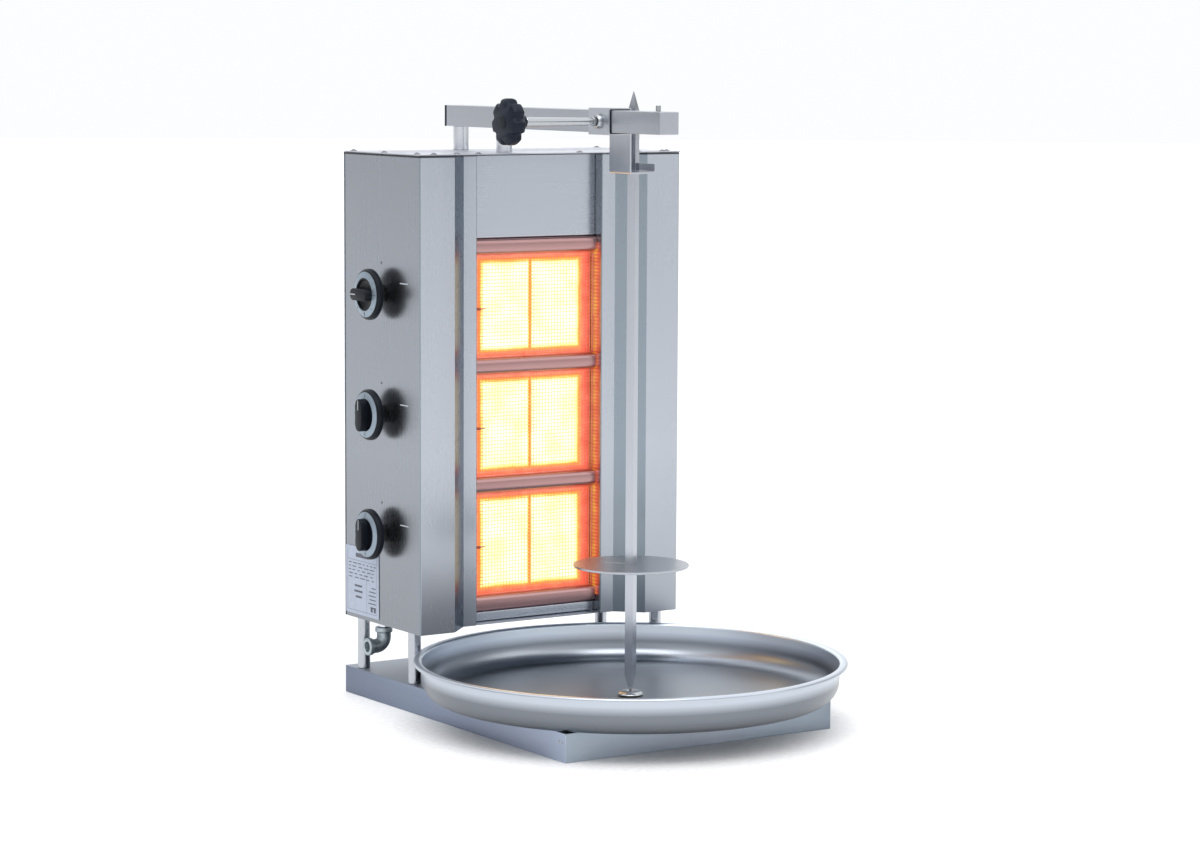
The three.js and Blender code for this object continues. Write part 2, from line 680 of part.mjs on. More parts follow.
function squareRing(outerSide, innerSide, y0, y1) {
  const ring = (side) => rectangle(
    ARM_MID_Z - side / 2, ARM_X - side / 2, ARM_MID_Z + side / 2, ARM_X + side / 2,
  );
  return extrudeY(outline(ring(outerSide), ring(innerSide)), y0, y1);
}

const SLEEVE_WALL = 1.5;
const SLEEVE_INNER = SLEEVE_SIDE - 2 * SLEEVE_WALL;
const CLAMP_FACE = [ARM_X - SLEEVE_SIDE / 2, CLAMP_Y, ARM_MID_Z]; // where the clamp enters the sleeve

function clampScrewHole() {
  return barOut(CLAMP_ROD_RADIUS + 0.5, [-10, 10], CLAMP_FACE);
}

// The sleeve's right wall runs down, turns under the spit's end and up again at the far side.
function carriageBracket() {
  const sleeve = squareRing(SLEEVE_SIDE, SLEEVE_INNER, CARRIAGE_FRONT_Y, CARRIAGE_BACK_Y);
  const wallX = ARM_X + SLEEVE_SIDE / 2 - GUIDE_THICKNESS;
  const path = [
    [ARM_BOTTOM + 6, wallX + 0.6],
    [GUIDE_Z, wallX + 0.6],
    [GUIDE_Z, GUIDE_LIP_X],
    [GUIDE_Z + GUIDE_LIP_HEIGHT, GUIDE_LIP_X],
  ];
  const section = foldedSheet(path.reverse(), GUIDE_THICKNESS, 4);
  const strip = extrudeY(section, CARRIAGE_FRONT_Y, CARRIAGE_BACK_Y);
  const hole = post(GUIDE_HOLE_RADIUS, 0, SPIT_Y, GUIDE_Z - 1, GUIDE_Z + GUIDE_THICKNESS + 1);
  const tubeRoom = squareRing(SLEEVE_INNER, 1, CARRIAGE_FRONT_Y - 1, CARRIAGE_BACK_Y + 1);
  return cut(join(sleeve, cut(strip, tubeRoom)), hole, clampScrewHole());
}

const LINER_OUTER = SLEEVE_INNER - 2 * GAP;
const LINER_INNER = ARM_SIDE + 2 * GAP;

function sleeveLiner() {
  const liner = squareRing(LINER_OUTER, LINER_INNER, CARRIAGE_FRONT_Y + 0.5, CARRIAGE_BACK_Y - 0.5);
  return cut(liner, clampScrewHole());
}

// Distances along the clamp are measured outwards from the left face of the sleeve.
const CLAMP_REACH = CLAMP_FACE[0] - CLAMP_KNOB_X;

function clampBoss() {
  const bore = CLAMP_ROD_RADIUS + GAP;
  const profile = [[bore, GAP], [10, GAP], [10, 4], [8.5, 6.5], [bore, 6.5]];
  return turnedOut(profile, CLAMP_FACE, 24);
}

// The screw's tip stops just short of the arm, and its far end sits inside the knob. Between the
// boss and the knob it thickens into a tapered shank.
function clampScrew() {
  const tip = -(SLEEVE_SIDE - ARM_SIDE) / 2 + GAP;
  const shankStart = 16.5;
  const shankEnd = CLAMP_REACH - 35;
  const profile = [
    [0, tip], [CLAMP_ROD_RADIUS, tip], [CLAMP_ROD_RADIUS, shankStart], [5.2, shankStart + 1],
    [6.8, shankEnd - 1], [6, shankEnd], [CLAMP_ROD_RADIUS, shankEnd],
    [CLAMP_ROD_RADIUS, CLAMP_REACH - 14], [0, CLAMP_REACH - 14],
  ];
  return turnedOut(profile, CLAMP_FACE, 28);
}

// A star knob: a lobed head that narrows to a round hub.
function clampKnob() {
  const headDepth = 20;
  const hubDepth = 34;
  const lobedRadius = (angle, radius) => radius * (0.93 + 0.07 * Math.cos(CLAMP_LOBES * angle));
  const head = new THREE.Shape(range(0, 8 * CLAMP_LOBES - 1, 1).map((i) => {
    const angle = (2 * Math.PI * i) / (8 * CLAMP_LOBES);
    const radius = lobedRadius(angle, CLAMP_KNOB_RADIUS - 1.5);
    return new THREE.Vector2(radius * Math.cos(angle), radius * Math.sin(angle));
  }));
  const options = {
    depth: headDepth - 3, bevelEnabled: true, bevelThickness: 1.5, bevelSize: 1.5, bevelSegments: 1,
  };
  const lobes = new THREE.ExtrudeGeometry(head, options).translate(0, 0, CLAMP_REACH - headDepth + 1.5);
  const back = CLAMP_REACH - hubDepth;
  const hub = turned([
    [0, back], [8, back], [10, back + 2],
    [16, CLAMP_REACH - headDepth + 1], [0, CLAMP_REACH - headDepth + 1],
  ], 24);
  const bore = turned([
    [0, back - 1], [CLAMP_ROD_RADIUS + GAP, back - 1],
    [CLAMP_ROD_RADIUS + GAP, CLAMP_REACH - 13], [0, CLAMP_REACH - 13],
  ], 20);
  return cut(join(lobes, hub), bore).rotateY(-Math.PI / 2).translate(...CLAMP_FACE);
}

add('carriage_bracket', carriageBracket(), STAINLESS);
add('sleeve_liner', sleeveLiner(), BLACK_PLASTIC);
add('clamp_boss', clampBoss(), BRIGHT_STEEL);
add('clamp_screw', clampScrew(), BRIGHT_STEEL);
add('clamp_knob', clampKnob(), BLACK_PLASTIC);

// ---------------------------------------------------------------------------------------------
// Drip pan, socket, spit and disc: all turned about the spit's axis
// ---------------------------------------------------------------------------------------------

const spitAxis = new THREE.Group();
spitAxis.position.y = SPIT_Y;
broiler.add(spitAxis);

// A spun pan with a flat floor, a generous fillet, a steep wall and a flat rim with a turned-down lip.
function dripPan() {
  const floor = BASE_HEIGHT + GAP;
  const rimUnderside = PAN_RIM_Z - PAN_THICKNESS;
  const lipX = PAN_RADIUS - PAN_THICKNESS;
  const path = [
    [BUSH_RADIUS + GAP, floor], [PAN_WALL_FOOT, floor], [PAN_RADIUS - 10, rimUnderside],
    [lipX, rimUnderside], [lipX, PAN_RIM_Z - 4],
  ];
  const bends = [{ radius: PAN_FILLET, steps: 4 }, { radius: 2, steps: 1 }, { radius: 1, steps: 1 }];
  const section = sheetSection(path, PAN_THICKNESS, bends);
  return turned(section.map(({ x, y }) => [x, y]), 56);
}

const PAN_FLOOR_TOP = BASE_HEIGHT + GAP + PAN_THICKNESS;

// A flanged bush in the middle of the pan, whose lower end runs in the base tray's slot.
function panBush() {
  const bore = 5;
  const flangeTop = PAN_FLOOR_TOP + GAP + 1;
  return turned([
    [bore, BASE_HEIGHT - 8], [BUSH_RADIUS, BASE_HEIGHT - 8], [BUSH_RADIUS, PAN_FLOOR_TOP + GAP],
    [13, PAN_FLOOR_TOP + GAP], [13, flangeTop], [bore, flangeTop],
  ], 24);
}

// The cup that carries the spit's point and turns in the bush.
function spitSocket() {
  const foot = PAN_FLOOR_TOP + 2 * GAP + 1;
  const spigot = 4.7;
  return turned([
    [0, BASE_HEIGHT - 9], [spigot, BASE_HEIGHT - 9], [spigot, foot], [SOCKET_RADIUS, foot],
    [SOCKET_RADIUS - 1, foot + 2], [12, SOCKET_TOP], [5.5, SOCKET_TOP],
    [2.2, foot + 0.2], [0, foot - 0.2],
  ], 32);
}

// A square bar drawn to a point at both ends.
function spit() {
  const stations = [
    [SPIT_BOTTOM, 0.7], [SPIT_BOTTOM + SPIT_TAPER, SPIT_SIDE / 2],
    [SPIT_TOP - SPIT_TAPER, SPIT_SIDE / 2], [SPIT_TOP, 0.4],
  ];
  const profile = stations.map(([z, half]) => [half * Math.SQRT2, z]);
  const last = profile.length - 1;
  const closed = [[0, profile[0][1]], ...profile, [0, profile[last][1]]];
  return turned(closed, 4).rotateZ(Math.PI / 4 + SPIT_TURN);
}

// A flat disc with a square hole for the bar; a slit beside the hole lets it spring and grip.
function spitDisc() {
  const holeHalf = SPIT_SIDE / 2 + GAP;
  const slitHalf = 1.2;
  const slitReach = 40;
  const [under, over] = [DISC_Z - 1, DISC_Z + DISC_THICKNESS + 1];
  const disc = post(DISC_RADIUS, 0, 0, DISC_Z, DISC_Z + DISC_THICKNESS, 48);
  const hole = block([-holeHalf, -holeHalf, under], [holeHalf, holeHalf, over]);
  const slit = block([-slitHalf, 0, under], [slitHalf, slitReach, over]);
  return cut(disc, join(hole, slit)).rotateZ(SPIT_TURN);
}

add('drip_pan', dripPan(), STAINLESS, spitAxis);
add('pan_bush', panBush(), BRASS, spitAxis);
add('spit_socket', spitSocket(), BRIGHT_STEEL, spitAxis);
add('spit', spit(), BRIGHT_STEEL, spitAxis);
add('spit_disc', spitDisc(), BRIGHT_STEEL, spitAxis);

export default broiler;
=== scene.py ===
"""Looks of the vertical rotisserie broiler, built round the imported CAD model.

Everything is in metres in the CAD frame: the origin is on the ground, +Z is up and the front faces -Y.
"""

import math
import random

import bmesh
import bpy
from mathutils import Matrix, Vector


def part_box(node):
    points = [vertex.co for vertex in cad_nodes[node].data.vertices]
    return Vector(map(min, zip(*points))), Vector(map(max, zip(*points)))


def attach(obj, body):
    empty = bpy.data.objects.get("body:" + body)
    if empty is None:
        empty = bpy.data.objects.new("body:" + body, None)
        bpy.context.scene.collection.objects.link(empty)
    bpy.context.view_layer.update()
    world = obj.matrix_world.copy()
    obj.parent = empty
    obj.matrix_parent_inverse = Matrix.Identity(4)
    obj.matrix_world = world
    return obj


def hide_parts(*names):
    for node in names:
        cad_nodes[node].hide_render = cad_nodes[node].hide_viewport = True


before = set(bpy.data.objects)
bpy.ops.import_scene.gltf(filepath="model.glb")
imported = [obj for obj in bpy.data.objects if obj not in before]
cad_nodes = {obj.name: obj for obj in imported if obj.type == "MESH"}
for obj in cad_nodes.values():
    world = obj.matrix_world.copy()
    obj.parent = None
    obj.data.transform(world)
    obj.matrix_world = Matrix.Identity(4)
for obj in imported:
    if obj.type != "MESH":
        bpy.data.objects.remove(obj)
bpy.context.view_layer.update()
scene = bpy.context.scene

MM = 0.001


# --- Camera ---

CAMERA_PLACE = Vector((-2.5768, -3.8974, 0.9307))
CAMERA_YAW = 0.58179
CAMERA_PITCH = -0.11285
CAMERA_ROLL = 0.00484
SENSOR_WIDTH = 36
LENS = 101.76


def add_camera():
    """The camera, turned by its yaw, pitch and roll."""
    data = bpy.data.cameras.new("camera")
    data.sensor_width = SENSOR_WIDTH
    data.lens = LENS
    data.clip_start = 0.1
    data.clip_end = 200
    camera = bpy.data.objects.new("camera", data)
    yaw, pitch, roll = CAMERA_YAW, CAMERA_PITCH, CAMERA_ROLL
    forward = Vector((math.sin(yaw) * math.cos(pitch), math.cos(yaw) * math.cos(pitch), math.sin(pitch)))
    level = Vector((math.cos(yaw), -math.sin(yaw), 0))
    upward = level.cross(forward)
    right = math.cos(roll) * level + math.sin(roll) * upward
    up = -math.sin(roll) * level + math.cos(roll) * upward
    turn = Matrix((right, up, -forward)).transposed().to_4x4()
    camera.matrix_world = Matrix.Translation(CAMERA_PLACE) @ turn
    scene.collection.objects.link(camera)
    scene.camera = camera


# --- Material building blocks ---

NOISE_SPAN = (0.3, 0.7)  # most of a noise texture's values lie between these


def shader_of(material):
    """A material's node tree and its shader."""
    tree = material.node_tree
    return tree, tree.nodes["Principled BSDF"]


def new_material(name):
    """A new material with its node tree and its shader."""
    material = bpy.data.materials.new(name)
    material.use_nodes = True
    return material, *shader_of(material)


def feed(tree, node, links):
    """Gives a node its inputs; links are (input, socket or value) pairs."""
    for socket, source in links:
        if isinstance(source, bpy.types.NodeSocket):
            tree.links.new(source, node.inputs[socket])
        else:
            node.inputs[socket].default_value = source


def add_node(tree, kind, links=(), **settings):
    """Adds a node with its properties (settings) and its inputs (links)."""
    node = tree.nodes.new(kind)
    for key, value in settings.items():
        setattr(node, key, value)
    feed(tree, node, links)
    return node


def math_node(tree, operation, *values):
    """An operation on one or two values, or a chain of it from left to right for more."""
    *first, last = values
    if len(first) > 1:
        first = [math_node(tree, operation, *first)]
    return add_node(tree, "ShaderNodeMath", enumerate([*first, last]), operation=operation).outputs[0]


def vector_math(tree, operation, *values):
    output = "Value" if operation == "DOT_PRODUCT" else "Vector"
    return add_node(tree, "ShaderNodeVectorMath", enumerate(values), operation=operation).outputs[output]


def object_coordinates(tree):
    return add_node(tree, "ShaderNodeTexCoord").outputs["Object"]


def surface_normal(tree):
    return add_node(tree, "ShaderNodeNewGeometry").outputs["Normal"]


def split(tree, vector):
    """The X, Y and Z of a vector."""
    return add_node(tree, "ShaderNodeSeparateXYZ", [(0, vector)]).outputs


def scaled(tree, vector, scale):
    return add_node(tree, "ShaderNodeMapping", [("Vector", vector), ("Scale", scale)]).outputs[0]


def noise(tree, vector, scale=1.0, detail=2.0, roughness=0.5):
    links = [("Vector", vector), ("Scale", scale), ("Detail", detail), ("Roughness", roughness)]
    return add_node(tree, "ShaderNodeTexNoise", links).outputs["Fac"]


def ramp(tree, factor, stops):
    """A colour ramp; each stop is (position, colour)."""
    node = add_node(tree, "ShaderNodeValToRGB", [("Fac", factor)])
    elements = node.color_ramp.elements
    while len(elements) < len(stops):
        elements.new(0.5)
    for element, (position, colour) in zip(elements, stops):
        element.position = position
        element.color = (*colour, 1)
    return node.outputs["Color"]


def mixed(tree, factor, first, second):
    """A colour between two others."""
    links = [(0, factor), (6, first), (7, second)]
    return add_node(tree, "ShaderNodeMix", links, data_type="RGBA").outputs[2]


def value_range(tree, value, low, high, start=0.0, end=1.0):
    """Runs from low, where the value is at start, to high, where it is at end."""
    links = [("Value", value), ("From Min", start), ("From Max", end), ("To Min", low), ("To Max", high)]
    return add_node(tree, "ShaderNodeMapRange", links, clamp=True).outputs[0]


def steepness(tree, part, start, end):
    """0 while one part of the normal, either way, is below start, and 1 where it is above end."""
    return value_range(tree, math_node(tree, "ABSOLUTE", part), 0.0, 1.0, start, end)


def bump(tree, height, strength, distance):
    links = [("Height", height), ("Strength", strength), ("Distance", distance)]
    return add_node(tree, "ShaderNodeBump", links).outputs[0]


def shade(colour, factor):
    return tuple(min(1.0, channel * factor) for channel in colour)


def mottled(tree, patches, colour, dark, light):
    """A colour whose brightness follows a noise, between two factors."""
    return ramp(tree, patches, list(zip(NOISE_SPAN, (shade(colour, dark), shade(colour, light)))))


# --- Metals ---


def painted_height_shade(tree, low, high, start, end):
    """A tone of painted shade that runs from low to high between two heights."""
    return value_range(tree, split(tree, object_coordinates(tree))[2], low, high, start, end)


def painted_fold_shade(tree, side, angled_left, angled_right):
    """Painted shade for the folds of a sheet, by the way each face is turned: full for faces turned to the
    front, back or top.
    """
    left_to_right = value_range(tree, split(tree, surface_normal(tree))[0], 0.0, 1.0, -1.0, 1.0)
    plain = (1, 1, 1)
    stops = [(0.04, side), (0.10, angled_right), (0.20, angled_right), (0.35, plain), (0.65, plain),
             (0.80, angled_left), (0.90, angled_left), (0.96, side)]
    return ramp(tree, left_to_right, stops)


def painted_tray_light(tree, top):
    """Painted light and shade for the tray: one level on top, and stops that even out how bright its front
    and its sides look.
    """
    place = split(tree, object_coordinates(tree))
    low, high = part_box("base_tray")
    front_to_back = value_range(tree, place[1], 0.0, 1.0, low.y, high.y)
    side = ramp(tree, front_to_back, [
        (0.0, (0.74, 0.77, 0.84)), (0.2, (0.70, 0.72, 0.79)), (0.45, (0.50, 0.525, 0.60)),
        (0.7, (0.405, 0.435, 0.495)), (1.0, (0.305, 0.325, 0.375)),
    ])
    left_to_right = value_range(tree, place[0], 0.0, 1.0, low.x, high.x)
    front = ramp(tree, left_to_right, [
        (0.0, (0.66, 0.70, 0.70)), (0.25, (0.85, 0.88, 0.89)), (0.55, (1, 1, 1)),
        (0.7, (0.83, 0.87, 0.89)), (1.0, (0.42, 0.45, 0.46)),
    ])
    tone = (top, top, top, 1)
    for part, face_tone in zip(split(tree, surface_normal(tree)), (side, front)):
        tone = mixed(tree, steepness(tree, part, 0.3, 0.8), tone, face_tone)
    return tone


def painted_inward_light(tree, centre, outside, inside):
    """Painted light for walls round an axis: one level for faces turned outwards, another for those inwards.
    """
    arm = vector_math(tree, "SUBTRACT", object_coordinates(tree), centre)
    outward = vector_math(tree, "NORMALIZE", vector_math(tree, "MULTIPLY", arm, (1, 1, 0)))
    facing = vector_math(tree, "DOT_PRODUCT", outward, surface_normal(tree))
    return value_range(tree, facing, inside, outside, -0.3, 0.3)


def paint_shade_on_metal(material, make_tone, *settings):
    """Multiplies a metal's colour by a tone of painted light or shade."""
    tree, shader = shader_of(material)
    colour = shader.inputs["Base Color"].links[0].from_socket
    feed(tree, shader, [("Base Color", vector_math(tree, "MULTIPLY", colour, make_tone(tree, *settings)))])
    return material


def metal_surface(tree, shader, colour, roughness, grain_vector, contrast, relief):
    """Brushed or turned metal: fine and broad streaks along the grain, and hand marks."""
    fine = noise(tree, grain_vector, 1.0, 3.0, 0.65)
    broad = noise(tree, scaled(tree, grain_vector, (0.22, 0.22, 0.22)), 1.0, 2.0)
    streaks = math_node(tree, "ADD", math_node(tree, "MULTIPLY", fine, 0.55),
                        math_node(tree, "MULTIPLY", broad, 0.45))
    marks = noise(tree, object_coordinates(tree), 9.0, 4.0, 0.6)
    streaked = value_range(tree, streaks, roughness - 0.01, roughness + 0.01, *NOISE_SPAN)
    marked = value_range(tree, marks, -0.015, 0.02, 0.35, 0.75)
    feed(tree, shader, [
        ("Base Color", mottled(tree, streaks, colour, 1 - contrast, 1 + contrast)),
        ("Roughness", math_node(tree, "ADD", streaked, marked)),
        ("Normal", bump(tree, streaks, relief, 0.12 * MM)),
        ("Metallic", 1.0),
    ])


def brushed_metal(name, colour, roughness, grain, contrast=0.02, relief=0.006):
    """Metal whose grain runs along the axis with the smallest number in grain."""
    material, tree, shader = new_material(name)
    vector = scaled(tree, object_coordinates(tree), grain)
    metal_surface(tree, shader, colour, roughness, vector, contrast, relief)
    return material


def turned_metal(name, colour, roughness, centre, contrast=0.03, relief=0.012, pitch=900.0):
    """Metal spun or turned about a vertical axis: its grain runs in rings."""
    material, tree, shader = new_material(name)
    x, y, z = split(tree, vector_math(tree, "SUBTRACT", object_coordinates(tree), centre))
    squares = [math_node(tree, "POWER", part, 2.0) for part in (x, y)]
    radius = math_node(tree, "SQRT", math_node(tree, "ADD", *squares))
    angle = math_node(tree, "ABSOLUTE", math_node(tree, "ARCTAN2", y, x))
    vector = add_node(tree, "ShaderNodeCombineXYZ", [
        (0, math_node(tree, "MULTIPLY", radius, pitch)),
        (1, math_node(tree, "MULTIPLY", angle, 0.7)),
        (2, math_node(tree, "MULTIPLY", z, pitch)),
    ]).outputs[0]
    metal_surface(tree, shader, colour, roughness, vector, contrast, relief)
    return material


def lid_metal(name, colour, roughness):
    """The lid's sheet, whose edge faces are painted near black as a shadow line."""
    material = brushed_metal(name, colour, roughness, (9, 700, 700))
    tree, shader = shader_of(material)
    face_colour = shader.inputs["Base Color"].links[0].from_socket
    flat = steepness(tree, split(tree, surface_normal(tree))[2], 0.3, 0.6)
    feed(tree, shader, [("Base Color", mixed(tree, flat, (0.05, 0.05, 0.06, 1), face_colour))])
    return material


def galvanised_metal(name, colour):
    """Zinc-plated metal with a crystalline spangle."""
    material, tree, shader = new_material(name)
    place = object_coordinates(tree)
    cells = add_node(tree, "ShaderNodeTexVoronoi", [("Vector", place), ("Scale", 260.0)])
    grey = add_node(tree, "ShaderNodeSeparateColor", [(0, cells.outputs["Color"])]).outputs[0]
    patches = noise(tree, place, 90.0, 3.0)
    feed(tree, shader, [
        ("Base Color", ramp(tree, grey, [(0.0, shade(colour, 0.82)), (1.0, shade(colour, 1.12))])),
        ("Roughness", value_range(tree, patches, 0.36, 0.55, *NOISE_SPAN)),
        ("Normal", bump(tree, patches, 0.2, 0.3 * MM)),
        ("Metallic", 1.0),
    ])
    return material


# --- Glowing parts and painted burner light ---


def middle(node):
    """The middle of a CAD node's box."""
    low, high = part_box(node)
    return (low + high) / 2


BURNERS = (1, 2, 3)  # from the top one down
WIRE_PITCH = 5.0 * MM  # of the woven screens before the burners
PLATE_LOW, PLATE_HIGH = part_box("ceramic_plate_1_right")
PLATE_MIDDLE = middle("ceramic_plate_1_right")
BURNER_PITCH = PLATE_MIDDLE.z - middle("ceramic_plate_2_right").z
HEAT_DEPTH = 8 * MM  # how far inside its edge a plate is at full heat
GAP_STEEPNESS = 3.0  # how much more steeply the heat changes at the gap between two plates


def burner_heat(tree):
    """1 or more within each ceramic plate, 0 at its edges and below 0 outside."""
    x, _, z = split(tree, object_coordinates(tree))
    reach = math_node(tree, "ABSOLUTE", x)
    outer = math_node(tree, "SUBTRACT", PLATE_HIGH.x, reach)
    inner = math_node(tree, "SUBTRACT", reach, PLATE_LOW.x)
    inner = math_node(tree, "MAXIMUM", inner, math_node(tree, "MULTIPLY", inner, GAP_STEEPNESS))
    row = math_node(tree, "DIVIDE", math_node(tree, "SUBTRACT", z, PLATE_MIDDLE.z), BURNER_PITCH)
    nearest = math_node(tree, "MINIMUM", math_node(tree, "ROUND", row), 0.0)
    nearest = math_node(tree, "MAXIMUM", nearest, 1.0 - len(BURNERS))
    along = math_node(tree, "ABSOLUTE", math_node(tree, "SUBTRACT", row, nearest))
    along = math_node(tree, "MULTIPLY", along, BURNER_PITCH)
    end = math_node(tree, "SUBTRACT", PLATE_HIGH.z - PLATE_MIDDLE.z, along)
    return math_node(tree, "DIVIDE", math_node(tree, "MINIMUM", outer, inner, end), HEAT_DEPTH)


def glowing_ceramic():
    """Ceramic at red heat at its edges and yellow-white within, pierced by small flame ports."""
    material, tree, shader = new_material("glowing_ceramic")
    place = object_coordinates(tree)
    patches = value_range(tree, noise(tree, place, 28.0, 3.0), -0.22, 0.08, *NOISE_SPAN)
    cells = add_node(tree, "ShaderNodeTexVoronoi", [("Vector", place), ("Scale", 480.0), ("Randomness", 0.2)])
    ports = value_range(tree, cells.outputs["Distance"], 0.0, 0.12, 0.1, 0.35)
    heat = math_node(tree, "ADD", math_node(tree, "MINIMUM", burner_heat(tree), 1.0), patches)
    heat = math_node(tree, "SUBTRACT", heat, ports)
    glow = ramp(tree, heat, [
        (0.0, (1.0, 0.22, 0.03)), (0.2, (1.0, 0.48, 0.04)), (0.42, (1.0, 0.78, 0.16)),
        (0.7, (1.0, 0.94, 0.46)), (1.0, (1.0, 0.98, 0.78)),
    ])
    feed(tree, shader, [
        ("Emission Color", glow),
        ("Emission Strength", 1.05),
        ("Base Color", ramp(tree, heat, [(0.0, (0.5, 0.2, 0.1)), (1.0, (0.85, 0.7, 0.5))])),
        ("Roughness", 0.9),
        ("Normal", bump(tree, ports, 0.4, 0.4 * MM)),
    ])
    return material


def burner_lit_metal(name, colour, stops, strength, spread):
    """Thin metal with the light of the burner behind it painted on as a glow; stops run from away from the
    plates to before them.
    """
    material, tree, shader = new_material(name)
    near = value_range(tree, burner_heat(tree), 0.0, 1.0, -spread, 1.0)
    patches = noise(tree, object_coordinates(tree), 60.0, 2.0)
    level = math_node(tree, "MULTIPLY", near, value_range(tree, patches, 0.85, 1.05, *NOISE_SPAN))
    feed(tree, shader, [
        ("Emission Color", ramp(tree, level, stops)),
        ("Emission Strength", strength),
        ("Base Color", mottled(tree, patches, colour, 0.8, 1.15)),
        ("Metallic", 1.0),
        ("Roughness", 0.45),
    ])
    return material


def paint_burner_light_in_opening(material):
    """Paints the burners' light on the walls of the burner opening as a glow between the cross rails, in
    bands across them.
    """
    tree, shader = shader_of(material)
    place = object_coordinates(tree)
    x, y, z = split(tree, place)
    low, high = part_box("guard_mesh_1")
    reach = math_node(tree, "ABSOLUTE", x)
    limits = [
        value_range(tree, reach, 1.0, 0.0, high.x + 1 * MM, high.x + 2 * MM),  # not beyond the walls
        value_range(tree, y, 0.0, 1.0, low.y - 19 * MM, low.y - 4 * MM),  # fading out to the front
        value_range(tree, y, 1.0, 0.0, high.y + 8 * MM, high.y + 9 * MM),  # not behind the burners' fronts
    ]
    wave = math_node(tree, "SINE", math_node(tree, "MULTIPLY", z, 2 * math.pi / WIRE_PITCH))
    bands = value_range(tree, wave, 0.6, 1.0, -1.0, 1.0)
    patches = value_range(tree, noise(tree, place, 60.0, 2.0), 0.7, 1.1, *NOISE_SPAN)
    level = math_node(tree, "MULTIPLY", *limits, bands, patches)
    glow = ramp(tree, level, [(0.0, (0, 0, 0)), (0.45, (0.8, 0.08, 0.02)), (1.0, (1.0, 0.60, 0.05))])
    # the strength of the painted burner light
    heat = value_range(tree, burner_heat(tree), 0.0, 1.33, -2.7, -2.0)  # none level with the cross rails
    feed(tree, shader, [("Emission Color", glow), ("Emission Strength", heat)])


# --- Plastic and printed surfaces ---


def moulded_plastic(name, colour, roughness):
    """Phenolic plastic with a fine pitted surface and slightly uneven gloss."""
    material, tree, shader = new_material(name)
    place = object_coordinates(tree)
    patches = noise(tree, place, 45.0, 3.0)
    feed(tree, shader, [
        ("Base Color", mottled(tree, patches, colour, 0.75, 1.35)),
        ("Roughness", value_range(tree, patches, roughness - 0.06, roughness + 0.08, *NOISE_SPAN)),
        ("Normal", bump(tree, noise(tree, place, 1600.0, 2.0), 0.12, 0.1 * MM)),
        ("Specular IOR Level", 0.13),
    ])
    return material


def printed_foil(name, colour, roughness, metallic=0.0):
    """A printed or painted surface with faint mottling."""
    material, tree, shader = new_material(name)
    patches = noise(tree, object_coordinates(tree), 130.0, 3.0)
    feed(tree, shader, [
        ("Base Color", mottled(tree, patches, colour, 0.93, 1.05)),
        ("Roughness", value_range(tree, patches, roughness - 0.05, roughness + 0.05, *NOISE_SPAN)),
        ("Metallic", metallic),
    ])
    return material


# --- The materials ---

SPIT = middle("spit")
SPIT_AXIS = (SPIT.x, SPIT.y, 0)
LID_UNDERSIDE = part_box("top_lid")[0].z

STEEL_GREY = (0.45, 0.48, 0.53)
# painted shade: the tower's steel is darker near its foot
TOWER_STEEL = paint_shade_on_metal(brushed_metal("tower_steel", STEEL_GREY, 0.27, (750, 750, 9), 0.018, 0.0015),
                         painted_height_shade, 0.75, 1.0, 120 * MM, 360 * MM)  # darker near its foot
# painted shade: the tower's side and angled faces are darker
paint_shade_on_metal(TOWER_STEEL, painted_fold_shade, (0.68, 0.68, 0.68), (0.31, 0.385, 0.47), (0.60, 0.66, 0.68))
# painted light: the burners' glow on the opening's walls
paint_burner_light_in_opening(TOWER_STEEL)
PANEL_STEEL = brushed_metal("panel_steel", STEEL_GREY, 0.27, (9, 750, 750), 0.018, 0.0015)
for walls in (TOWER_STEEL, PANEL_STEEL):  # a painted shadow under the lid: a dark line along the sheets' top
    paint_shade_on_metal(walls, painted_height_shade, 1.0, 0.15, LID_UNDERSIDE - 3.2 * MM, LID_UNDERSIDE - 2.8 * MM)
LID_STEEL = lid_metal("lid_steel", (0.56, 0.58, 0.64), 0.34)
# painted light and shade on the base tray's faces
BASE_STEEL = paint_shade_on_metal(brushed_metal("base_steel", (0.62, 0.675, 0.77), 0.5, (10, 10, 750), 0.04, 0.02),
                        painted_tray_light, 0.5)
ARM_STEEL = brushed_metal("arm_steel", (0.42, 0.44, 0.48), 0.32, (750, 9, 750))
BRACKET_STEEL = brushed_metal("bracket_steel", (0.48, 0.50, 0.54), 0.30, (750, 750, 20))
POST_STEEL = brushed_metal("post_steel", (0.68, 0.70, 0.74), 0.2, (600, 600, 20), 0.05, 0.05)
LEG_STEEL = brushed_metal("leg_steel", (0.44, 0.46, 0.50), 0.24, (600, 600, 20), 0.05, 0.05)
BRIGHT_STEEL = brushed_metal("bright_steel", (0.40, 0.42, 0.44), 0.22, (20, 900, 900), 0.05, 0.06)
SPIT_STEEL = brushed_metal("spit_steel", (0.45, 0.47, 0.515), 0.22, (700, 700, 12), 0.05, 0.05)
RAIL_STEEL = brushed_metal("rail_steel", (0.42, 0.25, 0.245), 0.3, (8, 600, 600), 0.05, 0.05)
PAN_STEEL = turned_metal("pan_steel", (0.80, 0.87, 0.97), 0.30, SPIT_AXIS)
# painted shade: the pan is darker near its floor
paint_shade_on_metal(PAN_STEEL, painted_height_shade, 0.39, 1.0, 67 * MM, 80 * MM)  # darker near its floor
# painted light: the pan is brighter inside than outside
paint_shade_on_metal(PAN_STEEL, painted_inward_light, SPIT_AXIS, 0.60, 1.06)
DISC_STEEL = turned_metal("disc_steel", (0.43, 0.455, 0.49), 0.3, SPIT_AXIS)
GALVANISED = galvanised_metal("galvanised", (0.42, 0.48, 0.51))
BRASS = galvanised_metal("brass", (0.72, 0.55, 0.22))
CERAMIC = glowing_ceramic()
